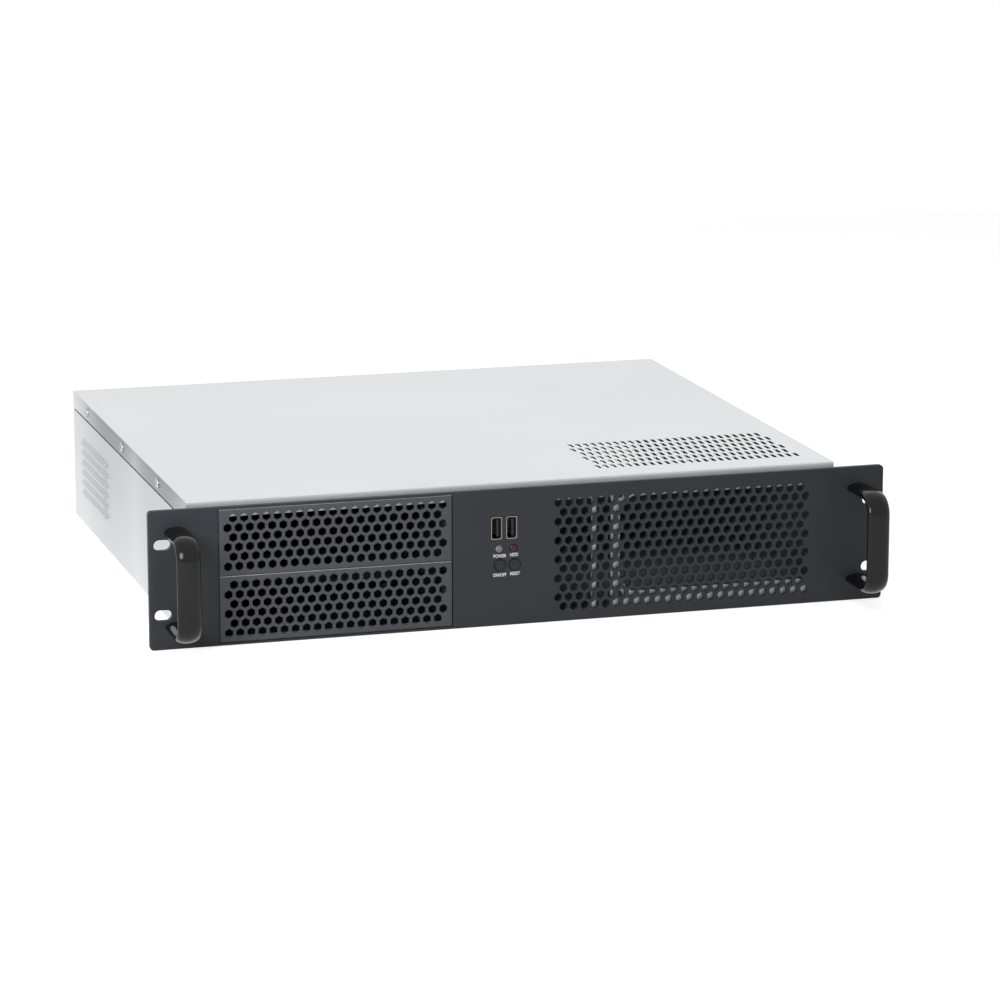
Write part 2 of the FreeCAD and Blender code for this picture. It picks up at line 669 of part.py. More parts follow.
def top_cover():
    """Lid folded from one sheet: side flanges, front and rear folds, slotted vent field."""
    body = make_body("top_cover_body")
    out, skin = "dims.cover_half", "dims.cover_half - dims.gauge"
    under = "dims.cover_top - dims.gauge"
    rear = "dims.body_depth + dims.gauge"
    sketch = polygon(body, "lid_section", "XZ_Plane", (
        (f"-{out}", "dims.cover_flange"), (f"-({skin})", "dims.cover_flange"), (f"-({skin})", under),
        (skin, under), (skin, "dims.cover_flange"), (out, "dims.cover_flange"),
        (out, "dims.cover_top"), (f"-{out}", "dims.cover_top"),
    ), "dims.cover_front")
    pad(body, sketch, "lid_fold", f"{rear} - dims.cover_front")
    sketch = rectangle(body, "front_fold", "XZ_Plane", (f"-({skin})", "dims.frame_top + 0.1"),
                       (skin, under), "dims.cover_front")
    pad(body, sketch, "lid_front_fold", "dims.gauge")
    sketch = rectangle(body, "rear_fold", "XZ_Plane", (f"-({skin})", "dims.cover_flange"),
                       (skin, under), "dims.body_depth")
    pad(body, sketch, "lid_rear_fold", "dims.gauge")

    def top_edge(edge):
        """The folds that surround the lid's upper face."""
        return all(abs(v.Point.z - number("dims.cover_top")) < 0.01 for v in edge.Vertexes)

    round_edges(body, "lid_bends", "1", top_edge)
    half_long, half_wide = "dims.vent_slot_length / 2", "dims.vent_slot_width / 2"
    for shift in (0, 1):
        middle_x = f"dims.vent_left + {shift} * dims.vent_pitch / 2"
        middle_y = f"dims.vent_front + {shift} * dims.vent_row"
        sketch = rectangle(body, f"vent_slot_{shift}", "XY_Plane",
                           (f"{middle_x} - {half_wide}", f"{middle_y} - {half_long}"),
                           (f"{middle_x} + {half_wide}", f"{middle_y} + {half_long}"),
                           "dims.cover_top + 1")
        slot = pocket(body, sketch, f"vent_cut_{shift}", "4", forward=False)
        repeat(body, slot, f"vent_rows_{shift}", ("X_Axis", "dims.vent_pitch", 12 - shift),
               ("Y_Axis", "2 * dims.vent_row", 3 - shift))
    side_screw_holes(body, "lid")
    rear_screw_holes(body, "lid")
    return finish(body, "top_cover")


def rear_panel():
    """Rear wall: connector aperture, seven slot windows, fan grille, inlet and vents."""
    body = make_body("rear_panel_body")
    step = "dims.frame_half - dims.joggle"
    shoulder = "dims.ledge_height - 1.5"
    top = "dims.wall_top"
    face = "dims.body_depth - dims.gauge"
    sketch = polygon(body, "rear_outline", "XZ_Plane", (
        ("-dims.frame_half", "dims.gauge"), ("dims.frame_half", "dims.gauge"),
        ("dims.frame_half", shoulder), (step, shoulder), (step, top),
        (f"-({step})", top), (f"-({step})", shoulder), ("-dims.frame_half", shoulder),
    ), face)
    pad(body, sketch, "rear_plate", "dims.gauge")
    sketch = rectangle(body, "rear_lip", "XZ_Plane", (f"-({step})", f"{top} - dims.gauge"), (step, top), face)
    pad(body, sketch, "rear_top_flange", "11", forward=False)
    cuts = [
        ("aperture", ("dims.aperture_left", "dims.aperture_low"),
         ("dims.aperture_left + dims.aperture_width", "dims.aperture_low + dims.aperture_height")),
        ("inlet", ("dims.inlet_x - 10", "dims.inlet_z - 14"), ("dims.inlet_x + 10", "dims.inlet_z + 14")),
    ]
    for name, low, high in cuts:
        pocket(body, rectangle(body, f"{name}_outline", "XZ_Plane", low, high, "dims.body_depth - 3"),
               f"{name}_cut", "6")
    for name, x, low, width, high, pitch, count in (
            ("window", "dims.slot_first - 6 * dims.slot_pitch", "12", "13.4", "73", "dims.slot_pitch", 7),
            ("vent", "dims.aperture_left + 10", "57", "7", "75", "18.9", 8),
            ("grille", "dims.fan_x - 21.6", "dims.fan_z - 15", "4", "dims.fan_z + 15", "7.2", 7)):
        sketch = rectangle(body, f"{name}_outline", "XZ_Plane", (f"{x} - {width} / 2", low),
                           (f"{x} + {width} / 2", high), "dims.body_depth - 3")
        first = pocket(body, sketch, f"{name}_cut", "6")
        repeat(body, first, f"{name}_row", ("X_Axis", pitch, count))
    for name, x, z, radius, across, upward in (
            ("fan_hole", "dims.fan_x", "dims.fan_z", "2.4", "dims.fan_hole_pitch", "dims.fan_hole_pitch"),
            ("inlet_hole", "dims.inlet_x", "dims.inlet_z", "1.9", None, "40")):
        start_x = f"{x} - {across} / 2" if across else x
        sketch = rounded(body, name, "XZ_Plane", (start_x, f"{z} - {upward} / 2"), radius, 6,
                         "dims.body_depth - 3")
        hole = pocket(body, sketch, f"{name}_cut", "6")
        if across:
            repeat(body, hole, f"{name}s", ("X_Axis", across, 2), ("Z_Axis", upward, 2))
        else:
            repeat(body, hole, f"{name}s", ("Z_Axis", upward, 2))
    rear_screw_holes(body, "rear")
    return finish(body, "rear_panel")


# ---------------------------------------------------------------- inside

def drive_cage():
    """Cage for two five-and-a-quarter inch bays: channel with top lips and slotted walls."""
    body = make_body("drive_cage_body")
    left, right = "dims.bay_centre - dims.cage_half", "dims.bay_centre + dims.cage_half"
    low, high = "dims.gauge", "dims.cage_top"
    start = "dims.panel_thick + dims.gauge"
    sketch = polygon(body, "cage_section", "XZ_Plane", (
        (left, low), (right, low), (right, high), (f"{right} - 9", high),
        (f"{right} - 9", f"{high} - dims.gauge"), (f"{right} - dims.gauge", f"{high} - dims.gauge"),
        (f"{right} - dims.gauge", f"{low} + dims.gauge"), (f"{left} + dims.gauge", f"{low} + dims.gauge"),
        (f"{left} + dims.gauge", f"{high} - dims.gauge"), (f"{left} + 9", f"{high} - dims.gauge"),
        (f"{left} + 9", high), (left, high),
    ), start)
    pad(body, sketch, "cage_channel", "dims.cage_depth")
    sketch = rectangle(body, "cage_slot", "YZ_Plane", ("30", "20"), ("42", "24"), f"{left} - 1")
    slot = pocket(body, sketch, "cage_slot_cut", "2 * dims.cage_half + 2")
    repeat(body, slot, "cage_slots", ("Y_Axis", "30", 3), ("Z_Axis", "41", 2))
    hole = hexagon(body, "cage_hole", "XY_Plane", ("dims.bay_centre - 60", "25"), "3.4", "10")
    punch = pocket(body, hole, "cage_hole_cut", "12", forward=False)
    repeat(body, punch, "cage_holes", ("X_Axis", "120", 2), ("Y_Axis", "90", 2))
    return finish(body, "drive_cage")


def slot_cover(index):
    """Blank of one expansion slot: blade behind the window, tab on the rail."""
    body = make_body(f"slot_cover_{index}_body")
    blade = polygon(body, f"blade_{index}", "XZ_Plane", (
        ("-5", "2"), ("5", "2"), ("5", "6"), ("9.2", "8"), ("9.2", "81.1"), ("-9.2", "81.1"),
        ("-9.2", "8"), ("-5", "6"),
    ), "dims.body_depth - dims.gauge - 1")
    pad(body, blade, f"blade_pad_{index}", "0.9")
    tab = rectangle(body, f"tab_{index}", "XZ_Plane", ("-9.2", "80.2"), ("9.2", "81.1"),
                    "dims.body_depth - dims.gauge - 1")
    pad(body, tab, f"tab_pad_{index}", "10.6", forward=False)
    hole = hexagon(body, f"tab_hole_{index}", "XY_Plane", ("0", "dims.body_depth - 8"), "3.4", "83")
    pocket(body, hole, f"tab_hole_cut_{index}", "5", forward=False)
    bind(body, "Placement.Base.x", f"dims.slot_first - {7 - index} * dims.slot_pitch")
    return finish(body, f"slot_cover_{index}")


def slot_rail():
    """Rail under the slot blanks' tabs, hung from the rear panel's flange by its ends."""
    body = make_body("slot_rail_body")
    left, right = "dims.slot_first - 6 * dims.slot_pitch - 13", "dims.slot_first + 11.3"
    sketch = polygon(body, "rail_section", "XZ_Plane", (
        (left, "79"), (right, "79"), (right, "dims.wall_top - dims.gauge"),
        (f"{right} - 1", "dims.wall_top - dims.gauge"), (f"{right} - 1", "80.1"),
        (f"{left} + 1", "80.1"), (f"{left} + 1", "dims.wall_top - dims.gauge"),
        (left, "dims.wall_top - dims.gauge"),
    ), "dims.body_depth - 13.8")
    pad(body, sketch, "rail_pad", "11.4")
    hole = hexagon(body, "rail_hole", "XY_Plane",
                   ("dims.slot_first - 6 * dims.slot_pitch", "dims.body_depth - 8"), "3.2", "83")
    punch = pocket(body, hole, "rail_hole_cut", "5", forward=False)
    repeat(body, punch, "rail_holes", ("X_Axis", "dims.slot_pitch", 7))
    return finish(body, "slot_rail")


def fan_frame():
    """Square fan housing with its bore, corner holes, rear motor plate on struts and pin."""
    body = make_body("fan_frame_body")
    half = "dims.fan_size / 2"
    rear = "dims.body_depth - dims.gauge - 0.1"
    front = f"{rear} - dims.fan_depth"
    sketch = rectangle(body, "fan_outline", "XZ_Plane", (f"-{half}", f"-{half}"), (half, half), front)
    pad(body, sketch, "fan_block", "dims.fan_depth")
    sketch = rounded(body, "fan_duct", "XZ_Plane", ("0", "0"), "dims.fan_bore", 24, front)
    pocket(body, sketch, "fan_duct_cut", "dims.fan_depth")
    sketch = rounded(body, "fan_corner_hole", "XZ_Plane",
                     ("-dims.fan_hole_pitch / 2", "-dims.fan_hole_pitch / 2"), "2.4", 6, front)
    hole = pocket(body, sketch, "fan_corner_cut", "dims.fan_depth")
    repeat(body, hole, "fan_corner_holes", ("X_Axis", "dims.fan_hole_pitch", 2),
           ("Z_Axis", "dims.fan_hole_pitch", 2))
    for name, low, high in (("flat", ("-29.5", "-1.6"), ("29.5", "1.6")),
                            ("tall", ("-1.6", "-29.5"), ("1.6", "29.5"))):
        sketch = rectangle(body, f"fan_strut_{name}", "XZ_Plane", low, high, f"{rear} - 2.4")
        pad(body, sketch, f"fan_strut_pad_{name}", "2.4")
    sketch = rounded(body, "fan_motor_plate", "XZ_Plane", ("0", "0"), "14", 16, f"{rear} - 3")
    pad(body, sketch, "fan_motor_pad", "3")
    sketch = circle(body, "fan_pin", "XZ_Plane", ("0", "0"), "2.5", f"{rear} - 3")
    pad(body, sketch, "fan_pin_pad", "15", forward=False)
    bind(body, "Placement.Base.x", "dims.fan_x")
    bind(body, "Placement.Base.z", "dims.fan_z")
    return finish(body, "fan_frame")


def fan_rotor():
    """Rotor: hub with the pin's bore and seven twisted blades."""
    body = make_body("fan_rotor_body")
    rear = "dims.body_depth - dims.gauge - 0.1"
    front = f"{rear} - dims.fan_depth + 1.5"
    sketch = rounded(body, "hub_disc", "XZ_Plane", ("0", "0"), "13.5", 18, front)
    pad(body, sketch, "hub_pad", "dims.fan_depth - 5.5")
    mid = f"{front} + 9"
    outline = polygon(body, "blade_outline", "XY_Plane", (
        ("-6.6", f"{mid} - 7"), ("-5.2", f"{mid} - 7.6"), ("1.4", f"{mid} - 1.6"), ("6.8", f"{mid} + 6.2"),
        ("5.6", f"{mid} + 7"), ("0", f"{mid} - 0.4"),
    ), "12")
    blade = pad(body, outline, "blade_pad", "15.2")
    ring = body.newObject("PartDesign::PolarPattern", "blade_ring")
    ring.Originals = [blade]
    ring.Axis = (datum(body, "Y_Axis"), [""])
    ring.Angle = 360
    ring.Occurrences = 7
    body.Tip = ring
    sketch = circle(body, "hub_bore", "XZ_Plane", ("0", "0"), "2.56", f"{rear} - 19")
    pocket(body, sketch, "hub_bore_cut", "16")
    bind(body, "Placement.Base.x", "dims.fan_x")
    bind(body, "Placement.Base.z", "dims.fan_z")
    return finish(body, "fan_rotor")


def ac_inlet():
    """Mains inlet: flange outside the rear panel, housing through it, socket cavity."""
    body = make_body("ac_inlet_body")
    sketch = polygon(body, "inlet_flange_outline", "XZ_Plane", (
        ("-8", "-25"), ("8", "-25"), ("12", "-19"), ("12", "19"), ("8", "25"), ("-8", "25"),
        ("-12", "19"), ("-12", "-19"),
    ), "dims.body_depth")
    pad(body, sketch, "inlet_flange_pad", "dims.inlet_flange")
    sketch = rectangle(body, "inlet_housing", "XZ_Plane", ("-9.7", "-13.7"), ("9.7", "13.7"),
                       "dims.body_depth")
    pad(body, sketch, "inlet_housing_pad", "18", forward=False)
    sketch = polygon(body, "inlet_cavity", "XZ_Plane", (
        ("-8.3", "-12"), ("4.3", "-12"), ("8.3", "-8"), ("8.3", "8"), ("4.3", "12"), ("-8.3", "12"),
    ), "dims.body_depth + dims.inlet_flange")
    pocket(body, sketch, "inlet_cavity_cut", "15", forward=False)
    for name, radius, sides, depth in (("head", "3.5", 12, "1.5"), ("shank", "1.9", 6, "3")):
        sketch = rounded(body, f"inlet_screw_{name}", "XZ_Plane", ("0", "-20"), radius, sides,
                         "dims.body_depth + dims.inlet_flange")
        hole = pocket(body, sketch, f"inlet_screw_{name}_cut", depth, forward=False)
        repeat(body, hole, f"inlet_screw_{name}s", ("Z_Axis", "40", 2))
    bind(body, "Placement.Base.x", "dims.inlet_x")
    bind(body, "Placement.Base.z", "dims.inlet_z")
    return finish(body, "ac_inlet")


def inlet_pins():
    """Three flat contact pins standing in the inlet's cavity."""
    floor = "dims.body_depth + dims.inlet_flange - 15"
    pins = []
    for name, x, z in (("line", "-3.5", "-7"), ("earth", "3.5", "0"), ("neutral", "-3.5", "7")):
        centre_x, centre_z = f"dims.inlet_x + {x}", f"dims.inlet_z + {z}"
        pins.append(box(f"pin_{name}", (f"{centre_x} - 2", floor, f"{centre_z} - 1"),
                        (f"{centre_x} + 2", f"{floor} + 13", f"{centre_z} + 1")))
    return finish(group("inlet_pin_group", pins), "ac_inlet_pins")


def standoffs():
    """Nine tapped hexagon posts for the mainboard."""
    posts = []
    for x in ("dims.post_x", "dims.post_x - 157.48", "dims.post_x - 281.94"):
        for y in ("dims.post_y", "dims.post_y - 154.94", "dims.post_y - 227.33"):
            index = len(posts) + 1
            blank = prism(f"post_{index}", 6, "3.175", "dims.post_height", (x, y, "dims.gauge"))
            floor = (x, y, "dims.gauge + dims.post_height - 5")
            if index == 5:
                bore = prism(f"post_bore_{index}", 6, "1.4", "5", floor)
            else:
                bore = cylinder(f"post_bore_{index}", "1.4", "5", floor)
            posts.append(cut(f"post_tapped_{index}", blank, [bore]))
    return finish(group("post_group", posts), "motherboard_standoffs")


# ---------------------------------------------------------------- controls

def usb_port(side):
    """Metal shell of one USB port with its flared lip, and the black tongue inside it."""
    x, z = f"dims.usb_{side}", "dims.usb_height"
    board = "dims.board_front"

    def around(half_x, half_z, start, end, name):
        """Box centred on the port."""
        return box(f"{name}_{side}", (f"{x} - {half_x}", start, f"{z} - {half_z}"),
                   (f"{x} + {half_x}", end, f"{z} + {half_z}"))

    lip = around("3.6", "7.35", "-0.3", "0.5", "usb_lip")
    sleeve = around("2.95", "6.6", "0", board, "usb_sleeve")
    hollow = around("2.55", "6.2", "-1", f"{board} - 2", "usb_hollow")
    shell = cut(f"usb_shell_{side}", fuse(f"usb_outer_{side}", [lip, sleeve]), [hollow])
    finish(shell, f"usb_port_{side}")
    tongue = box(f"usb_tongue_solid_{side}", (f"{x} + 0.3", "1.4", f"{z} - 5.6"),
                 (f"{x} + 2.1", f"{board} - 2", f"{z} + 5.6"))
    return finish(tongue, f"usb_tongue_{side}")


def indicator(side, label):
    """Light emitting diode with a domed end and a rim, on two leads."""
    x, z = f"dims.lamp_{side}", "dims.lamp_height"
    lens = prism(f"lamp_lens_{side}", 16, "dims.lamp_radius", "6.8", (x, "-0.8", z), Vector(0, 1, 0))
    rim = prism(f"lamp_rim_{side}", 8, "dims.lamp_radius + 0.6", "1", (x, "5.1", z), Vector(0, 1, 0))
    leads = [
        box(f"lamp_lead_{side}_{index}", (f"{x} + {offset} - 0.25", "5.5", f"{z} - 0.25"),
            (f"{x} + {offset} + 0.25", "dims.board_front", f"{z} + 0.25"))
        for index, offset in enumerate(("-1.27", "1.27"))
    ]
    return finish(fuse(f"lamp_solid_{side}", [lens, rim, *leads]), label)


def push_button(side, label):
    """Push cap kept behind the panel by a collar, with the stem that enters the switch."""
    body = make_body(f"{label}_body")
    for name, radius, sides, start, length in (("cap", "dims.button_radius", 20, "-0.2", "5.8"),
                                               ("collar", "dims.button_radius + 1.1", 8, "4.5", "1.2"),
                                               ("stem", "1.5", 6, "5", "5.4")):
        sketch = rounded(body, f"{name}_{side}", "XZ_Plane", ("0", "0"), radius, sides, start)
        pad(body, sketch, f"{name}_pad_{side}", length)
    bind(body, "Placement.Base.x", f"dims.button_{side}")
    bind(body, "Placement.Base.z", "dims.button_height")
    return finish(body, label)


def switch(side, label):
    """Switch on the control board with a bore for the button's stem."""
    x, z = f"dims.button_{side}", "dims.button_height"
    case = box(f"switch_case_{side}", (f"{x} - 3.2", "8.4", f"{z} - 3.2"),
               (f"{x} + 3.2", "dims.board_front", f"{z} + 3.2"))
    bore = prism(f"switch_bore_{side}", 6, "2.2", "4.6", (x, "8.4", z), Vector(0, 1, 0))
    return finish(cut(f"switch_solid_{side}", case, [bore]), label)


POST_PLACES = (("-27", "36.5"), ("-27", "68.5"), ("1.4", "36.5"), ("1.4", "68.5"))


def control_board():
    """Circuit board behind the control window, its four posts and their screws."""
    board = box("board_blank", ("-31", "dims.board_front", "32.5"),
                ("5.4", "dims.board_front + dims.board_thick", "72.5"))
    holes = [prism(f"board_hole_{i}", 6, "dims.screw_hole", "4", (x, "dims.board_front - 1", z),
                   Vector(0, 1, 0)) for i, (x, z) in enumerate(POST_PLACES)]
    finish(cut("board_drilled", board, holes), "io_board")
    posts = []
    for index, (x, z) in enumerate(POST_PLACES):
        blank = prism(f"board_post_{index}", 6, "2.6", "dims.board_front - dims.panel_thick",
                      (x, "dims.panel_thick", z), Vector(0, 1, 0))
        bore = prism(f"board_post_bore_{index}", 6, "1.6", "5", (x, "dims.board_front - 5", z),
                     Vector(0, 1, 0))
        posts.append(cut(f"board_post_tapped_{index}", blank, [bore]))
    finish(group("board_post_group", posts), "io_board_posts")
    return screws("io_board_screws",
                  [(x, "dims.board_front + dims.board_thick", z) for x, z in POST_PLACES],
                  Vector(0, 1, 0), "4.5", head="2.6", thread="1.4")


# ---------------------------------------------------------------- fixings

def screws(label, places, outward, length, head="dims.screw_head", thread="dims.screw_radius",
           height="1.2"):
    """Identical screws in one node: head on the surface at each place, shank behind it."""
    solids = []
    for index, place in enumerate(places, start=1):
        direction = outward[index - 1] if isinstance(outward, list) else outward
        cap = prism(f"{label}_head_{index}", 6, head, height, place, direction)
        shank = prism(f"{label}_shank_{index}", 4, thread, length, place, direction * -1)
        solids.append(fuse(f"{label}_{index}", [cap, shank]))
    return finish(group(f"{label}_group", solids), label)


def all_screws():
    """Every remaining set of screws."""
    front, rear = Vector(0, -1, 0), Vector(0, 1, 0)
    up = Vector(0, 0, 1)
    foot, top = "dims.handle_foot", "dims.handle_head"
    screws("handle_screws",
           [(f"{sign} * dims.handle_x", "dims.panel_thick", z) for sign in (-1, 1) for z in (foot, top)],
           rear, "dims.panel_thick + 8", head="3.8", thread="1.9", height="2.6")
    screws("panel_screws",
           [(f"{sign} * dims.panel_screw_x", "dims.panel_thick + dims.gauge", z)
            for sign in (-1, 1) for z in ("dims.panel_screw_low", "dims.panel_screw_high")],
           rear, "dims.gauge + 2.5", height="2")
    screws("cage_screws",
           [(f"dims.bay_centre + {x}", y, "2 * dims.gauge") for x in ("-60", "60") for y in ("25", "115")],
           up, "2 * dims.gauge - 0.2")
    sides = [(sign, y) for sign in (-1, 1) for y in COVER_SCREWS]
    screws("cover_screws",
           [(f"{sign} * dims.cover_half", y, "dims.cover_screw_height") for sign, y in sides]
           + [(x, "dims.body_depth + dims.gauge", "dims.cover_screw_height") for x in REAR_SCREWS],
           [Vector(sign, 0, 0) for sign, _ in sides] + [rear] * len(REAR_SCREWS), "3.4")
    screws("slot_screws",
           [(f"dims.slot_first - {i} * dims.slot_pitch", "dims.body_depth - 8", "81.1") for i in range(7)],
           up, "3.6", head="3", thread="1.4", height="1.6")
    spread = "dims.fan_hole_pitch / 2"
    screws("fan_screws",
           [(f"dims.fan_x + {u} * {spread}", "dims.body_depth", f"dims.fan_z + {v} * {spread}")
            for u in (-1, 1) for v in (-1, 1)],
           rear, "9", head="3.7", thread="1.9", height="1.8")
    screws("inlet_screws",
           [("dims.inlet_x", "dims.body_depth + dims.inlet_flange - 1.4", f"dims.inlet_z + {z}")
            for z in ("-20", "20")],
           rear, "6", head="3.1", thread="1.45", height="1.3")


# ---------------------------------------------------------------- assembly

def check_and_export():
    """Stop on any broken feature or shape; write one STEP file for every sub-part."""
    DOC.recompute()
    for item in DOC.Objects:
        if "Invalid" in item.State or "Error" in item.State:
            raise RuntimeError(f"{item.Name} is not valid: {item.State}")
    os.makedirs("parts", exist_ok=True)
    for part in PARTS:
        shape = part.Shape
        if shape.isNull() or not shape.isValid() or not shape.Solids:
            raise RuntimeError(f"{part.Label} has no valid solid")
        shape.exportStep(f"parts/{part.Label}.step")
        print(part.Label, len(shape.Solids), [round(v, 1) for v in (
            shape.BoundBox.XMin, shape.BoundBox.XMax, shape.BoundBox.YMin, shape.BoundBox.YMax,
            shape.BoundBox.ZMin, shape.BoundBox.ZMax)])


def main():
    """Build every sub-part."""
    front_panel()
    handle("left", -1)
    handle("right", 1)
    bay_cover("lower", "dims.bay_margin + 0.35")
    bay_cover("upper", "dims.panel_height - dims.bay_margin - 0.35 - dims.bay_cover_height")
    front_frame()
    base_tray()
    top_cover()
    rear_panel()
    drive_cage()
    for index in range(1, 8):
        slot_cover(index)
    slot_rail()
    fan_frame()
    fan_rotor()
    ac_inlet()
    inlet_pins()
    standoffs()
    usb_port("left")
    usb_port("right")
    indicator("left", "power_led")
    indicator("right", "disk_led")
    push_button("left", "power_button")
    push_button("right", "reset_button")
    switch("left", "power_switch")
    switch("right", "reset_switch")
    control_board()
    all_screws()
    check_and_export()


main()
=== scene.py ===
"""Looks of an empty rackmount server case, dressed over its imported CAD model.

The case frame used below is in millimetres: x to the right, y back from the face of
the front panel, z up from the underside. `Bench.point` turns it into the scene's metres.
"""
from __future__ import annotations

import logging
import math
from dataclasses import dataclass, field
from enum import Enum
from typing import Any, Callable, Optional, Sequence

import bmesh
import bpy
from mathutils import Matrix, Vector

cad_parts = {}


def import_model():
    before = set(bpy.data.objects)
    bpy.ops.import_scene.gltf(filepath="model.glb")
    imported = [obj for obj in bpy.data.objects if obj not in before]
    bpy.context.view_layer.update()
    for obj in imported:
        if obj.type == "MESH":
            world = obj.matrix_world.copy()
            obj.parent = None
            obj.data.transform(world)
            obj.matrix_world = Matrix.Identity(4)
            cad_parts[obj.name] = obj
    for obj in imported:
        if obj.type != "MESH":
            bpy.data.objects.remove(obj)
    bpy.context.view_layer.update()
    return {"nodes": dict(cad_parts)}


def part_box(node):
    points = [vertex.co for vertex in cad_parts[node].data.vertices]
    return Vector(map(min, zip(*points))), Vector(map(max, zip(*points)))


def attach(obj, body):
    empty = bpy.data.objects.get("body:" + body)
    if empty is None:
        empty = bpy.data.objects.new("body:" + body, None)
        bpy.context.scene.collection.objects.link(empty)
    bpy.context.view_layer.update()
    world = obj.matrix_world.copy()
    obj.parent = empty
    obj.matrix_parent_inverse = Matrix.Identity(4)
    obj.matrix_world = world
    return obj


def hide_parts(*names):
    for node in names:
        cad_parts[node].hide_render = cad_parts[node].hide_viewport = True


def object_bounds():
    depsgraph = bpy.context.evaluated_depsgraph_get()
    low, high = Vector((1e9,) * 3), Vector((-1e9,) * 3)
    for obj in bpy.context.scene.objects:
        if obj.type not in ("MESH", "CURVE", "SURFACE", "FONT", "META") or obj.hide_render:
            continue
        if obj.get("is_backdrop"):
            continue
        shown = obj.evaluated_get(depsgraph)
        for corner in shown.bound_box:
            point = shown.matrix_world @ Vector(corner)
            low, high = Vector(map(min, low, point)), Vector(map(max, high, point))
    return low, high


LOG = logging.getLogger("rack_case")
MM = 0.001
Triple = tuple[float, float, float]
Pair = tuple[float, float]

# Where the ports and controls stand on the plate, as x and z in mm.
PORT_PLACES: dict[str, Pair] = {"left": (-18.7, 63.1), "right": (-8.8, 63.1)}
LAMP_PLACES: dict[str, Pair] = {"power_led": (-16.9, 49.7), "disk_led": (-7.3, 49.7)}
BUTTON_PLACES: dict[str, Pair] = {"power_button": (-16.4, 39.1), "reset_button": (-6.6, 39.1)}

# How far a cutting tool stands out of what it cuts, and how deep a joined part sinks in, in mm.
OVERRUN, SINK = 1.0, 0.1
# Slack for picking and merging vertices by their place, in metres.
HAIR = 0.00001
# Only sheet within this half width, in mm, can get the painted shade of the inside; the louvres stand
# further out.
INNER_HALF = 213.4
# The painted reflection on the flanks, a greyer patch, in mm from the middle of the case and up from its
# underside: its centre, mirrored side to side and front to back, and where it starts and ends to fade
# round that.
REFLECTION_CENTRE: Triple = (214.0, 75.0, 86.0)
REFLECTION_CORE, REFLECTION_EDGE = 20.0, 175.0
# How far sideways a face has to look to get the painted reflection, as a share of its normal.
REFLECTION_LEAN = 0.8


class Axis(Enum):
    """Directions that a turned piece may point in."""

    LEFT = (-1.0, 0.0, 0.0)
    RIGHT = (1.0, 0.0, 0.0)
    REAR = (0.0, 1.0, 0.0)
    UP = (0.0, 0.0, 1.0)


def linear(code: str) -> tuple[float, float, float, float]:
    """Turn an sRGB hex colour to linear.

    Args:
        code: Six hex digits after a hash sign.

    Returns:
        Linear red, green, blue and an alpha of one.
    """
    parts = [int(code[i:i + 2], 16) / 255 for i in (1, 3, 5)]
    red, green, blue = (c / 12.92 if c <= 0.04045 else ((c + 0.055) / 1.055) ** 2.4 for c in parts)
    return (red, green, blue, 1.0)


def add_node(tree: bpy.types.NodeTree, kind: str, inputs: Optional[dict[Any, Any]] = None,
             **settings: Any) -> bpy.types.Node:
    """Add a shader node, set its properties, and fill or link its inputs.

    Args:
        tree: Node tree that gets the node.
        kind: Blender's type name of the node, without its ShaderNode in front.
        inputs: Socket name or index to a value, or to an output socket to link.
        **settings: Properties of the node itself.

    Returns:
        The new node.
    """
    node = tree.nodes.new("ShaderNode" + kind)
    for name, value in settings.items():
        setattr(node, name, value)
    for socket, value in (inputs or {}).items():
        if isinstance(value, bpy.types.NodeSocket):
            tree.links.new(value, node.inputs[socket])
        else:
            node.inputs[socket].default_value = value
    return node


def seen_rays(tree: bpy.types.NodeTree) -> bpy.types.NodeSocket:
    """Tell the rays that show the stage from those that only light the case.

    Args:
        tree: Node tree that gets the nodes.

    Returns:
        Socket that is one on camera, glossy and transmission rays.
    """
    path = add_node(tree, "LightPath")
    seen = add_node(tree, "Math", {
        0: path.outputs["Is Camera Ray"], 1: path.outputs["Is Glossy Ray"]}, operation="MAXIMUM")
    through = add_node(tree, "Math", {
        0: seen.outputs[0], 1: path.outputs["Is Transmission Ray"]}, operation="MAXIMUM")
    return through.outputs[0]


# ------------------------------------------------------------------ finishes

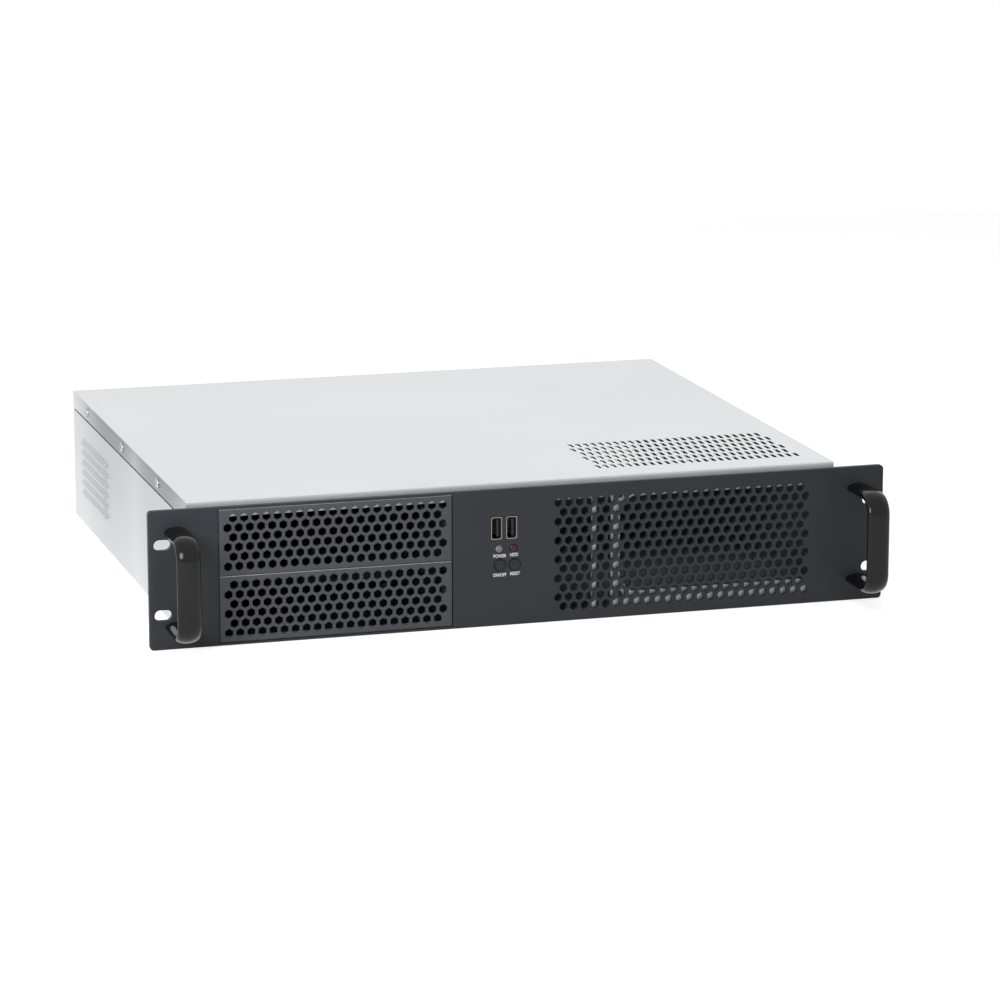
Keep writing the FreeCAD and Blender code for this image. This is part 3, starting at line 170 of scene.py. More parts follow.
@dataclass(frozen=True)
class Finish:
    """A finish with a fine surface pattern on Object coordinates.

    `inner_shade` darkens the sides of folded sheet that face into the case and takes their metal away,
    as painted shade. `flank_reflection` greys a patch high on the flanks, as a painted reflection.
    """

    name: str
    colour: str
    roughness: float
    metallic: float = 0.0
    ior: float = 1.45
    grain_mm: float = 0.6
    grain_stretch: Triple = (1.0, 1.0, 1.0)
    grain_depth: float = 0.05
    tone_mm: float = 60.0
    tone_swing: float = 0.04
    roughness_swing: float = 0.05
    transmission: float = 0.0
    specular: float = 0.5
    inner_shade: Optional[str] = None
    flank_reflection: Optional[str] = None

    def material(self) -> bpy.types.Material:
        """Build the material, or return it if it was built before.

        Returns:
            The node material of this finish.
        """
        ready = bpy.data.materials.get(self.name)
        if ready is not None:
            return ready
        material = bpy.data.materials.new(self.name)
        material.use_nodes = True
        tree = material.node_tree
        tree.nodes.clear()
        where = add_node(tree, "TexCoord")
        tone = add_node(tree, "TexNoise", {
            "Vector": where.outputs["Object"], "Scale": 1 / (self.tone_mm * MM), "Detail": 3.0})
        base = linear(self.colour)[:3]
        low, high = (tuple(min(1.0, c * (1 + sign * self.tone_swing)) for c in base) + (1.0,)
                     for sign in (-1, 1))
        colour = add_node(tree, "Mix", {0: tone.outputs["Fac"], 6: low, 7: high}, data_type="RGBA")
        # Painted reflection: a greyer patch high on the flanks.
        if self.flank_reflection:
            colour = add_node(tree, "Mix", {
                0: self.flank_reflection_mask(tree), 6: colour.outputs[2], 7: linear(self.flank_reflection)}, data_type="RGBA")
        metal: Any = self.metallic
        # Painted shade: the sides facing into the case are darkened and lose their metal.
        if self.inner_shade:
            inside = self.inside_shade_mask(tree)
            colour = add_node(tree, "Mix", {
                0: inside, 6: colour.outputs[2], 7: linear(self.inner_shade)}, data_type="RGBA")
            metal = add_node(tree, "Math", {0: self.metallic, 1: inside}, operation="SUBTRACT").outputs[0]
        stretched = add_node(tree, "Mapping", {
            "Vector": where.outputs["Object"], "Scale": self.grain_stretch})
        grain = add_node(tree, "TexNoise", {
            "Vector": stretched.outputs["Vector"], "Scale": 1 / (self.grain_mm * MM), "Detail": 2.0})
        rough = add_node(tree, "MapRange", {
            "Value": grain.outputs["Fac"], "To Min": max(0.02, self.roughness - self.roughness_swing),
            "To Max": self.roughness + self.roughness_swing})
        bump = add_node(tree, "Bump", {
            "Height": grain.outputs["Fac"], "Strength": 1.0, "Distance": self.grain_depth * MM})
        shader = add_node(tree, "BsdfPrincipled", {
            "Base Color": colour.outputs[2], "Roughness": rough.outputs["Result"],
            "Normal": bump.outputs["Normal"], "Metallic": metal,
            "Transmission Weight": self.transmission, "Specular IOR Level": self.specular})
        if self.metallic < 0.5:
            shader.inputs["IOR"].default_value = self.ior
        add_node(tree, "OutputMaterial", {"Surface": shader.outputs["BSDF"]})
        return material

    @staticmethod
    def inside_shade_mask(tree: bpy.types.NodeTree) -> bpy.types.NodeSocket:
        """Tell the sides of folded sheet that face the inside of the case, which get the painted shade.

        Args:
            tree: Node tree that gets the nodes.

        Returns:
            Socket that is one on a side facing into the case and nought on an outer one.
        """
        low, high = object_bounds()
        middle = tuple((low[i] + high[i]) / 2 for i in range(3))
        place = add_node(tree, "TexCoord")
        from_middle = add_node(tree, "VectorMath", {
            0: place.outputs["Object"], 1: middle}, operation="SUBTRACT")
        lean = add_node(tree, "VectorMath", {
            0: from_middle.outputs[0], 1: place.outputs["Normal"]}, operation="DOT_PRODUCT")
        inward = add_node(tree, "Math", {0: lean.outputs["Value"], 1: 0.0}, operation="LESS_THAN")
        sides = add_node(tree, "SeparateXYZ", {0: place.outputs["Object"]})
        across = add_node(tree, "Math", {0: sides.outputs[0]}, operation="ABSOLUTE")
        within = add_node(tree, "Math", {0: across.outputs[0], 1: INNER_HALF * MM}, operation="LESS_THAN")
        both = add_node(tree, "Math", {0: inward.outputs[0], 1: within.outputs[0]}, operation="MULTIPLY")
        return both.outputs[0]

    @staticmethod
    def flank_reflection_mask(tree: bpy.types.NodeTree) -> bpy.types.NodeSocket:
        """Tell the patch of painted reflection high on the sheet's left and right flanks.

        Args:
            tree: Node tree that gets the nodes.

        Returns:
            Socket that is one in the middle of the patch and fades to nought round it.
        """
        where = add_node(tree, "TexCoord")
        parts = add_node(tree, "SeparateXYZ", {0: where.outputs["Normal"]})
        across = add_node(tree, "Math", {0: parts.outputs[0]}, operation="ABSOLUTE")
        aside = add_node(tree, "Math", {0: across.outputs[0], 1: REFLECTION_LEAN}, operation="GREATER_THAN")
        folded = add_node(tree, "VectorMath", {0: where.outputs["Object"]}, operation="ABSOLUTE")
        away = add_node(tree, "VectorMath", {
            0: folded.outputs[0], 1: tuple(v * MM for v in REFLECTION_CENTRE)}, operation="DISTANCE")
        fade = add_node(tree, "MapRange", {
            "Value": away.outputs["Value"], "From Min": REFLECTION_CORE * MM, "From Max": REFLECTION_EDGE * MM,
            "To Min": 1.0, "To Max": 0.0}, interpolation_type="SMOOTHSTEP")
        patch = add_node(tree, "Math", {0: aside.outputs[0], 1: fade.outputs[0]}, operation="MULTIPLY")
        return patch.outputs[0]


# Epoxy powder coat, sprayed and baked: a soft sheen and the faint peel of the flowed powder.
POWDER_COAT = Finish("satin_black_powder_coat", "#393A3F", 0.44, grain_mm=0.9, grain_depth=0.012,
                     tone_swing=0.06, specular=0.14)
# The same coat on the punched covers: a shade greyer than on the plate, and a little less smooth.
POWDER_COAT_THIN = Finish("satin_black_powder_coat_on_mesh", "#4D4F54", 0.46, grain_mm=0.9,
                          grain_depth=0.012, tone_swing=0.06, specular=0.2)
# The covers' upper rim: paler than the coat, a painted highlight for the fine line of light on the rolled
# edge.
RIM_HIGHLIGHT = Finish("painted_rim_highlight", "#B4B5B9", 0.3, grain_mm=0.9, grain_depth=0.004,
                         tone_mm=18, tone_swing=0.25)
# Stoved enamel on bent bar: smoother and darker, so it carries the long bright reflections.
BAR_ENAMEL = Finish("stoved_black_enamel", "#0D0D0F", 0.14, grain_mm=1.6, grain_depth=0.004,
                    tone_swing=0.05, specular=0.32)
# Electro-galvanised mild steel: pale grey, with a faint grain along the rolling. Its sides facing into
# the case are painted darker as painted shade, and its flanks carry a greyer painted reflection.
ZINC_SHEET = Finish("galvanised_steel_sheet", "#D0D2D4", 0.38, metallic=1.0, grain_mm=0.8,
                    grain_stretch=(6.0, 0.25, 6.0), grain_depth=0.006, tone_mm=110, tone_swing=0.035,
                    roughness_swing=0.06, inner_shade="#868B90", flank_reflection="#B4B7B9", specular=0.0)
# The lid's sheet lies flat under the lamps: painted paler than the walls' zinc as painted light, with the
# broad cloudy tone of the zinc bath; painted shade darkens its underside, a painted reflection its
# flanks.
ZINC_LID = Finish("galvanised_steel_lid", "#E0E1E2", 0.42, metallic=1.0, grain_mm=0.8,
                  grain_stretch=(6.0, 0.25, 6.0), grain_depth=0.006, tone_mm=150, tone_swing=0.04,
                  roughness_swing=0.06, inner_shade="#24272A", flank_reflection="#85888B", specular=0.0)
# The folded frame behind the plate, seen through the punching: the same zinc, painted a darker blue grey
# as painted shade, and darker still on the sides facing into the case.
ZINC_FRAME_SHADED = Finish("galvanised_steel_frame_shaded", "#A3A8AD", 0.48, metallic=1.0, grain_mm=0.8,
                    grain_stretch=(0.25, 6.0, 6.0), grain_depth=0.008, tone_mm=35, tone_swing=0.08,
                    inner_shade="#24272A", specular=0.0)
# The same zinc on the sheet inside the case, painted darker as painted shade and darker still on the
# sides facing in, with the grain standing up the walls.
ZINC_INSIDE_SHADED = Finish("galvanised_steel_inside_shaded", "#7C8085", 0.45, metallic=1.0, grain_mm=0.8,
                     grain_stretch=(6.0, 6.0, 0.3), grain_depth=0.008, tone_mm=40, tone_swing=0.06,
                     inner_shade="#2A2D30", specular=0.0)
# Glass filled nylon: the matt, finely pitted look of a spark-eroded mould.
MOULDED_BLACK = Finish("moulded_black_nylon", "#121315", 0.5, grain_mm=0.35, grain_depth=0.02,
                       tone_mm=10)
# Dyed ABS of the push caps: close to the panel's black but smoother and a touch warmer.
MOULDED_GREY = Finish("moulded_dark_abs", "#1E1F21", 0.36, grain_mm=0.3, grain_depth=0.008, tone_mm=5,
                      specular=0.35)
# Nickel over steel on the port shells: a thin bright line round a dark mouth.
NICKEL = Finish("nickel_plated_shell", "#918F89", 0.3, metallic=1.0, grain_mm=0.3, grain_depth=0.003,
                tone_mm=8)
# Gold flash on the ports' spring contacts: four warm threads on the black tongue.
GOLD_CONTACT = Finish("gold_flashed_contact", "#6E5B36", 0.35, metallic=1.0, grain_mm=0.2,
                      grain_depth=0.002, tone_mm=5)
# Turned brass posts: yellow, with fine turning marks round them.
BRASS = Finish("turned_brass", "#A88A48", 0.35, metallic=1.0, grain_mm=0.25, grain_depth=0.006, tone_mm=8)
# Bright zinc on the screws: bluer and shinier than the sheet they sit on.
ZINC_SCREW = Finish("zinc_plated_screw", "#B9BCC0", 0.28, metallic=1.0, grain_mm=0.3, grain_depth=0.004,
                    tone_mm=6)
# Black oxide on the fan's and the inlet's screws: dark, with a dull metal sheen.
BLACK_SCREW = Finish("black_oxide_screw", "#1C1D1F", 0.4, metallic=0.6, grain_mm=0.3, grain_depth=0.004,
                     tone_mm=6)
# Solder mask over the control board: deep green with a soft gloss.
SOLDER_MASK = Finish("green_solder_mask", "#17442B", 0.35, grain_mm=0.5, grain_depth=0.004, tone_mm=12)
# Water-clear epoxy of the power light, unlit: a grey bead with a bright rim.
CLEAR_LENS = Finish("clear_epoxy_lens", "#777A7D", 0.14, ior=1.53, transmission=0.2, tone_mm=3,
                    grain_mm=0.5, grain_depth=0.002)
# Red epoxy of the disk light, unlit: nearly black at the edge and wine red in the middle.
RED_LENS = Finish("red_epoxy_lens", "#330910", 0.2, ior=1.53, transmission=0.05, tone_mm=3,
                  grain_mm=0.5, grain_depth=0.002, specular=0.3)
# Screen printed ink under the lights and buttons: flat off-white.
WHITE_PRINT = Finish("white_screen_print", "#E0E0DD", 0.6, grain_mm=0.2, grain_depth=0.002, tone_mm=2,
                     tone_swing=0.08)


# ------------------------------------------------------------------ modelling bench

def faces_front(face: Any) -> bool:
    """Tell whether a face looks to the front."""
    return face.normal.y < -0.9


def runs_back(edge: Any) -> bool:
    """Tell whether an edge runs from front to back."""
    return abs((edge.verts[0].co - edge.verts[1].co).normalized().y) > 0.9


class Bench:
    """Modelling by operators, with everything deselected before each one."""

    def __init__(self) -> None:
        """Read where the panel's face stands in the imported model."""
        self.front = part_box("front_panel")[0][1]

    def point(self, x: float, y: float, z: float) -> Vector:
        """Turn case frame millimetres to scene metres."""
        return Vector((x * MM, self.front + y * MM, z * MM))

    def clear(self) -> None:
        """Leave edit mode and deselect everything."""
        if bpy.context.mode != "OBJECT":
            bpy.ops.object.mode_set(mode="OBJECT")
        bpy.ops.object.select_all(action="DESELECT")

    def take(self, piece: bpy.types.Object) -> None:
        """Select one piece and make it active."""
        self.clear()
        piece.select_set(True)
        bpy.context.view_layer.objects.active = piece

    def settle(self, piece: bpy.types.Object) -> bpy.types.Object:
        """Apply a piece's place so that its object sits at the origin."""
        self.take(piece)
        bpy.ops.object.transform_apply(location=True, rotation=True, scale=True)
        return piece

    def block(self, name: str, low: Triple, high: Triple) -> bpy.types.Object:
        """Start a piece from a block.

        Args:
            name: Name of the piece.
            low: Lowest corner in the case frame.
            high: Highest corner in the case frame.

        Returns:
            The new piece, at the origin with its place in its mesh.
        """
        self.clear()
        first, last = self.point(*low), self.point(*high)
        bpy.ops.mesh.primitive_cube_add(size=1, location=(first + last) / 2, scale=last - first)
        piece = bpy.context.object
        piece.name = piece.data.name = name
        return self.settle(piece)

    def rod(self, name: str, sides: int, radius: float, base: Triple, length: float,
            axis: Axis) -> bpy.types.Object:
        """Start a piece from a straight rod.

        Args:
            name: Name of the piece.
            sides: Number of sides round it.
            radius: Radius to its corners, in mm.
            base: Middle of its base in the case frame.
            length: Length in mm.
            axis: Direction from the base.

        Returns:
            The new piece.
        """
        self.clear()
        way = Vector(axis.value)
        centre = self.point(*base) + way * length * MM / 2
        turn = way.to_track_quat("Z", "Y").to_euler()
        bpy.ops.mesh.primitive_cylinder_add(vertices=sides, radius=radius * MM, depth=length * MM,
                                            location=centre, rotation=turn)
        piece = bpy.context.object
        piece.name = piece.data.name = name
        return self.settle(piece)

    def pick(self, piece: bpy.types.Object, mode: str, wanted: Callable[[Any], bool]) -> None:
        """Enter edit mode with the vertices, edges or faces that a test picks.

        Args:
            piece: Piece to edit.
            mode: VERT, EDGE or FACE.
            wanted: Test of a bmesh element.
        """
        self.take(piece)
        bpy.ops.object.mode_set(mode="EDIT")
        bpy.ops.mesh.select_mode(type=mode)
        bpy.ops.mesh.select_all(action="DESELECT")
        mesh = bmesh.from_edit_mesh(piece.data)
        items = {"VERT": mesh.verts, "EDGE": mesh.edges, "FACE": mesh.faces}[mode]
        for item in items:
            item.select_set(wanted(item))
        mesh.select_flush_mode()
        bmesh.update_edit_mesh(piece.data)

    def extrude(self, back: float, up: float = 0.0) -> None:
        """Extrude the picked faces by a step in mm."""
        bpy.ops.mesh.extrude_region_move(TRANSFORM_OT_translate={"value": (0, back * MM, up * MM)})

    def done(self) -> None:
        """Leave edit mode."""
        bpy.ops.object.mode_set(mode="OBJECT")

    def modify(self, piece: bpy.types.Object, kind: str, **settings: Any) -> bpy.types.Object:
        """Add a modifier and apply it.

        Args:
            piece: Piece that gets it.
            kind: Blender's type name of the modifier.
            **settings: Its properties.

        Returns:
            The piece.
        """
        modifier = piece.modifiers.new(kind.lower(), kind)
        for name, value in settings.items():
            setattr(modifier, name, value)
        self.take(piece)
        bpy.ops.object.modifier_apply(modifier=modifier.name)
        return piece

    def carve(self, piece: bpy.types.Object, cutter: bpy.types.Object) -> None:
        """Cut one piece with another and throw the cutter away."""
        self.modify(piece, "BOOLEAN", operation="DIFFERENCE", object=cutter, solver="EXACT")
        self.discard(cutter)

    def discard(self, piece: bpy.types.Object) -> None:
        """Delete a piece with its mesh."""
        mesh = piece.data
        bpy.data.objects.remove(piece)
        bpy.data.meshes.remove(mesh)

    def repeat(self, piece: bpy.types.Object, count: int, step: Triple) -> bpy.types.Object:
        """Repeat a piece's mesh in a row, in mm."""
        return self.modify(piece, "ARRAY", count=count, use_relative_offset=False,
                           use_constant_offset=True,
                           constant_offset_displace=tuple(v * MM for v in step))

    def join(self, pieces: Sequence[bpy.types.Object]) -> bpy.types.Object:
        """Join several pieces to the first one."""
        self.take(pieces[0])
        for piece in pieces[1:]:
            piece.select_set(True)
        if len(pieces) > 1:
            bpy.ops.object.join()
        return pieces[0]

    def stand(self, piece: bpy.types.Object, name: str, place: Triple,
              axis: Axis) -> bpy.types.Object:
        """Copy a piece modelled upright at the scene's origin to a place and a direction.

        Args:
            piece: Piece to copy.
            name: Name of the copy.
            place: Where the origin goes, in the case frame.
            axis: Direction that its top points in.

        Returns:
            The copy, settled at the origin.
        """
        self.take(piece)
        bpy.ops.object.duplicate(linked=False)
        copy = bpy.context.object
        copy.name = copy.data.name = name
        copy.rotation_euler = Vector(axis.value).to_track_quat("Z", "Y").to_euler()
        copy.location = self.point(*place)
        return self.settle(copy)

    def soften(self, piece: bpy.types.Object, width: float, segments: int = 2,
               angle: float = 40.0) -> bpy.types.Object:
        """Round a piece's sharp edges and shade it smooth by angle.

        Args:
            piece: Piece to round.
            width: Width of the rounding in mm.
            segments: Segments of the rounding.
            angle: Least angle of an edge that is rounded, in degrees.

        Returns:
            The piece.
        """
        self.modify(piece, "BEVEL", width=width * MM, segments=segments, limit_method="ANGLE",
                    angle_limit=math.radians(angle), harden_normals=False)
        return self.smooth(piece)

    def smooth(self, piece: bpy.types.Object, angle: float = 35.0) -> bpy.types.Object:
        """Shade a piece smooth up to an angle in degrees."""
        self.take(piece)
        bpy.ops.object.shade_smooth_by_angle(angle=math.radians(angle))
        return piece

    def outward(self, piece: bpy.types.Object) -> None:
        """Merge a piece's doubles and point its faces outwards."""
        self.pick(piece, "VERT", lambda _: True)
        bpy.ops.mesh.remove_doubles(threshold=HAIR)
        bpy.ops.mesh.normals_make_consistent(inside=False)
        self.done()

    def issue(self, piece: bpy.types.Object, finish: Finish, body: str = "case",
              slot: Optional[str] = None, replaces: Sequence[str] = ()) -> None:
        """Args:
            piece: The finished piece.
            finish: Its finish.
            body: CAD body that it rides on.
            slot: Material slot; not used.
            replaces: CAD nodes that it stands for.
        """
        piece.data.materials.clear()
        piece.data.materials.append(finish.material())
        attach(piece, body)
        if replaces:
            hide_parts(*replaces)
        LOG.info("%s: %d faces, %s", piece.name, len(piece.data.polygons), finish.name)


@dataclass
class HexField:
    """Staggered field of punched hexagons with a corner up; sizes in mm."""

    pitch: float = 7.07
    row_pitch: float = 6.14
    flats: float = 5.0
    chamfer: float = 0.3

    def cutter(self, bench: Bench, centre: Triple, holes: int, rows: int, depth: float,
               lean: int) -> bpy.types.Object:
        """Make the tool that cuts the field.

        Args:
            bench: Modelling bench.
            centre: Middle of the field on the front surface.
            holes: Holes in every row.
            rows: Number of rows, an even one.
            depth: Thickness to cut through.
            lean: Side to which the upper row of each pair is shifted, -1 or 1.

        Returns:
            One mesh of flared prisms.
        """
        x, y, z = centre
        radius = self.flats / math.sqrt(3)
        tools = []
        for shift in (0, 1):
            start = (x - (holes - 1) * self.pitch / 2 + lean * (1 - 2 * shift) * self.pitch / 4,
                     y + self.chamfer, z + ((rows - 1) / 2 - shift) * self.row_pitch)
            tool = bench.rod(f"punch_{shift}", 6, radius, start, depth + OVERRUN, Axis.REAR)
            bench.pick(tool, "FACE", faces_front)
            wide = 1 + 2 * self.chamfer / self.flats
            middle = bench.point(start[0], y, start[2])
            bench.extrude(-self.chamfer)
            bpy.ops.transform.resize(value=(wide, 1, wide), center_override=middle)
            bench.extrude(-OVERRUN)
            bench.done()
            bench.repeat(tool, holes, (self.pitch, 0, 0))
            bench.repeat(tool, rows // 2, (0, 0, -2 * self.row_pitch))
            tools.append(tool)
        return bench.join(tools)


@dataclass
class FrontPanel:
    """Black front plate with ears, bay opening, control holes and the punched field."""

    bench: Bench
    width: float = 482.6
    height: float = 88.1
    thick: float = 4.0
    corner: float = 2.5
    grille_x: float = 105.3
    grille_z: float = 43.05
    slot_x: float = 232.55
    slot_z: Sequence[float] = (21.825, 66.275)
    slot_radius: float = 3.5
    slot_run: float = 4.0
    bay: Sequence[float] = (-197.5, 1.45, -47.1, 86.65)
    port_hole: Pair = (3.75, 7.5)
    lamp_hole: float = 2.65
    button_hole: float = 4.0
    edge: float = 0.35
    holes: int = 24
    rows: int = 12
    mesh: HexField = field(default_factory=HexField)

    def build(self) -> None:
        """Model the plate and issue it for its CAD node."""
        bench = self.bench
        half = self.width / 2
        plate = bench.block("front_plate", (-half, 0, 0), (half, self.thick, self.height))
        bench.pick(plate, "EDGE", runs_back)
        bpy.ops.mesh.bevel(offset=self.corner * MM, segments=6)
        bench.done()
        bench.soften(plate, self.edge, 2, 60)
        x0, z0, x1, z1 = self.bay
        bench.carve(plate, bench.block("bay_tool", (x0, -OVERRUN, z0), (x1, self.thick + OVERRUN, z1)))
        tools = [self.slot_tool(sign * self.slot_x, z) for sign in (-1, 1) for z in self.slot_z]
        wide, tall = self.port_hole
        for x, z in PORT_PLACES.values():
            tools.append(bench.block("port_tool", (x - wide, -OVERRUN, z - tall),
                                     (x + wide, self.thick + OVERRUN, z + tall)))
        for places, radius in ((LAMP_PLACES, self.lamp_hole), (BUTTON_PLACES, self.button_hole)):
            for x, z in places.values():
                tools.append(bench.rod("round_tool", 40, radius, (x, -OVERRUN, z),
                                       self.thick + 2 * OVERRUN, Axis.REAR))
        bench.carve(plate, bench.join(tools))
        grille = self.mesh.cutter(bench, (self.grille_x, 0, self.grille_z), self.holes, self.rows,
                                  self.thick, -1)
        bench.carve(plate, grille)
        bench.smooth(plate, 25)
        bench.issue(plate, POWDER_COAT, slot="panel_paint", replaces=["front_panel"])

    def slot_tool(self, x: float, z: float) -> bpy.types.Object:
        """Make the round-ended tool of one rack slot.

        Args:
            x: Centre across.
            z: Centre up.

        Returns:
            The tool.
        """
        start = x - self.slot_run / 2
        tool = self.bench.rod("slot_tool", 40, self.slot_radius, (start, -OVERRUN, z),
                              self.thick + 2 * OVERRUN, Axis.REAR)
        middle = self.bench.point(start, 0, z).x
        self.bench.pick(tool, "VERT", lambda vert: vert.co.x > middle + HAIR)
        bpy.ops.transform.translate(value=(self.slot_run * MM, 0, 0))
        self.bench.done()
        return tool


@dataclass
class BayCovers:
    """Two punched covers that snap into the drive bays."""

    bench: Bench
    centre: float = -122.3
    width: float = 149.4
    height: float = 42.1
    lows: Sequence[float] = (1.8, 44.2)
    skin: float = 1.3
    depth: float = 3.5
    face: float = 0.2
    wall: float = 1.2
    edge: float = 0.6
    holes: int = 20
    rows: int = 6
    hook_inset: float = 2.4
    hook_rise: Pair = (16.0, 26.0)
    hook_reach: float = 10.0
    mesh: HexField = field(default_factory=HexField)

    def build(self) -> None:
        """Model both covers and issue them for their CAD nodes."""
        for level, low in zip(("lower", "upper"), self.lows):
            cover = self.cover(level, low)
            self.bench.issue(cover, POWDER_COAT_THIN, slot="cover_paint", replaces=[f"bay_cover_{level}"])
            self.paint_rim_highlight(cover, low + self.height - self.edge)

    def paint_rim_highlight(self, cover: bpy.types.Object, low: float) -> None:
        """Give a cover's rounded upper rim its paler colour, a painted highlight.

        Args:
            cover: The cover, dressed.
            low: Height from which the rim starts, in mm.
        """
        cover.data.materials.append(RIM_HIGHLIGHT.material())
        for face in cover.data.polygons:
            if face.center.z > low * MM and face.normal.z > 0.3 and face.normal.y < -0.15:
                face.material_index = 1

    def cover(self, level: str, low: float) -> bpy.types.Object:
        """Model one cover: a pan with a punched face and two snap hooks.

        Args:
            level: Lower or upper.
            low: Height of its lower edge.

        Returns:
            The cover.
        """
        bench, half = self.bench, self.width / 2
        left, right, high = self.centre - half, self.centre + half, low + self.height
        pan = bench.block(f"punched_cover_{level}", (left, self.face, low),
                          (right, self.face + self.depth, high))
        bench.soften(pan, self.edge, 3, 60)
        back = bench.block("pan_tool", (left + self.wall, self.face + self.skin, low + self.wall),
                           (right - self.wall, self.face + self.depth + OVERRUN, high - self.wall))
        bench.carve(pan, back)
        tool = self.mesh.cutter(bench, (self.centre, self.face, low + self.height / 2), self.holes,
                                self.rows, self.skin, 1)
        bench.carve(pan, tool)
        hooks, (foot, head) = [], self.hook_rise
        for x, sign in ((left + self.hook_inset, 1), (right - self.hook_inset, -1)):
            first, last = sorted((x, x + sign * self.wall))
            hooks.append(bench.block("snap_hook", (first, self.face + self.skin - SINK, low + foot),
                                     (last, self.face + self.skin + self.hook_reach, low + head)))
        cover = bench.join([pan, *hooks])
        bench.smooth(cover, 25)
        return cover


@dataclass
class Handles:
    """Two U handles of oval bar, bent at both ends; `start` is the stub that the sweep begins with."""

    bench: Bench
    across: float = 224.0
    foot: float = 14.0
    head: float = 74.1
    reach: float = 40.0
    wide: float = 15.0
    slim: float = 7.0
    bend: float = 11.0
    steps: int = 12
    start: float = 0.4

    def build(self) -> None:
        """Sweep each bar by extrude and spin, and issue it for its CAD node."""
        for side, sign in (("left", -1), ("right", 1)):
            self.bench.issue(self.bar(side, sign * self.across), BAR_ENAMEL, slot="handle_paint",
                             replaces=[f"handle_{side}"])

    def bar(self, side: str, x: float) -> bpy.types.Object:
        """Model one handle from its section at the lower foot.

        Args:
            side: Left or right.
            x: Centre line of the bar.

        Returns:
            The handle.
        """
        bench = self.bench
        bar = bench.rod(f"bent_bar_{side}", 32, self.slim / 2, (x, -self.start, self.foot), self.start,
                        Axis.REAR)
        bench.pick(bar, "VERT", lambda _: True)
        bpy.ops.transform.resize(value=(self.wide / self.slim, 1, 1),
                                 center_override=bench.point(x, 0, self.foot))
        bench.done()
        bench.pick(bar, "FACE", faces_front)
        turn = self.reach - self.slim / 2 - self.bend
        rise = self.head - self.foot - 2 * self.bend
        bench.extrude(self.start - turn)
        for height, step in ((self.foot + self.bend, (0, rise)), (self.head - self.bend, (turn, 0))):
            bpy.ops.mesh.spin(steps=self.steps, angle=math.radians(90), axis=(1, 0, 0), dupli=False,
                              center=bench.point(x, -turn, height))
            bench.extrude(*step)
        bench.done()
        bench.outward(bar)
        return bench.smooth(bar, 50)


@dataclass
class Lid:
    """Lid folded from one sheet, with a slotted vent; the tools of its holes start `bite` inside."""

    bench: Bench
    half: float = 213.9
    front: float = 18.0
    rear: float = 390.0
    low: float = 77.0
    top: float = 88.6
    gauge: float = 1.2
    lip: float = 84.1
    screw_z: float = 83.2
    side_screws: Sequence[float] = (100.0, 215.0, 337.0)
    rear_screws: Sequence[float] = (-165.0, 0.0, 165.0)
    vent: Sequence[float] = (62.4, 44.5)
    vent_pitch: float = 5.2
    vent_row: float = 13.4
    vent_holes: int = 27
    vent_rows: int = 6
    slot: Sequence[float] = (2.6, 10.0)
    screw_hole: float = 1.65
    fold: float = 0.6
    bite: float = 3.0

    def build(self) -> None:
        """Model the lid and issue it for its CAD node."""
        bench, half, gauge = self.bench, self.half, self.gauge
        lid = bench.block("slotted_lid", (-half, self.front, self.low), (half, self.rear, self.top))
        ceiling = bench.point(0, 0, self.top).z - HAIR
        bench.pick(lid, "EDGE", lambda edge: all(vert.co.z > ceiling for vert in edge.verts))
        bpy.ops.mesh.bevel(offset=self.fold * MM, segments=3)
        bench.done()
        inside = half - gauge
        bench.carve(lid, bench.block("lid_hollow", (-inside, self.front + gauge, self.low - OVERRUN),
                                     (inside, self.rear - gauge, self.top - gauge)))
        bench.carve(lid, bench.block("lid_mouth", (-inside, self.front - OVERRUN, self.low - OVERRUN),
                                     (inside, self.front + gauge + OVERRUN, self.lip)))
        radius, through = self.screw_hole, 2 * half + 2 * OVERRUN
        holes = [bench.rod("screw_hole", 20, radius, (-half - OVERRUN, y, self.screw_z), through,
                           Axis.RIGHT) for y in self.side_screws]
        holes += [bench.rod("screw_hole", 20, radius, (x, self.rear - self.bite, self.screw_z),
                            self.bite + OVERRUN, Axis.REAR) for x in self.rear_screws]
        bench.carve(lid, bench.join(holes))
        for shift in (0, 1):
            bench.carve(lid, self.slots(shift))
        bench.smooth(lid, 35)
        bench.issue(lid, ZINC_LID, slot="lid_zinc", replaces=["top_cover"])

    def slots(self, shift: int) -> bpy.types.Object:
        """Make the tool of every second row of vent slots.

        Args:
            shift: 0 for the first, third and fifth rows, 1 for the rows between.

        Returns:
            The tool.
        """
        bench, (width, length) = self.bench, self.slot
        x = self.vent[0] + shift * self.vent_pitch / 2
        y = self.vent[1] + shift * self.vent_row
        tool = bench.rod("vent_slot", 16, width / 2, (x, y, self.top - self.bite),
                         self.bite + 2 * OVERRUN, Axis.UP)
        middle, half_run = bench.point(x, y, 0).y, (length - width) / 2 * MM
        for sign in (-1, 1):
            bench.pick(tool, "VERT", lambda vert, sign=sign: sign * (vert.co.y - middle) > HAIR)
            bpy.ops.transform.translate(value=(0, sign * half_run, 0))
            bench.done()
        bench.repeat(tool, self.vent_holes - shift, (self.vent_pitch, 0, 0))
        return bench.repeat(tool, self.vent_rows // 2, (0, 2 * self.vent_row, 0))


@dataclass(frozen=True)
class Tube:
    """Upright rectangular tube with a flared mouth, half sizes and depths in mm."""

    name: str
    wide: float
    tall: float
    lip: float
    start: float
    end: float


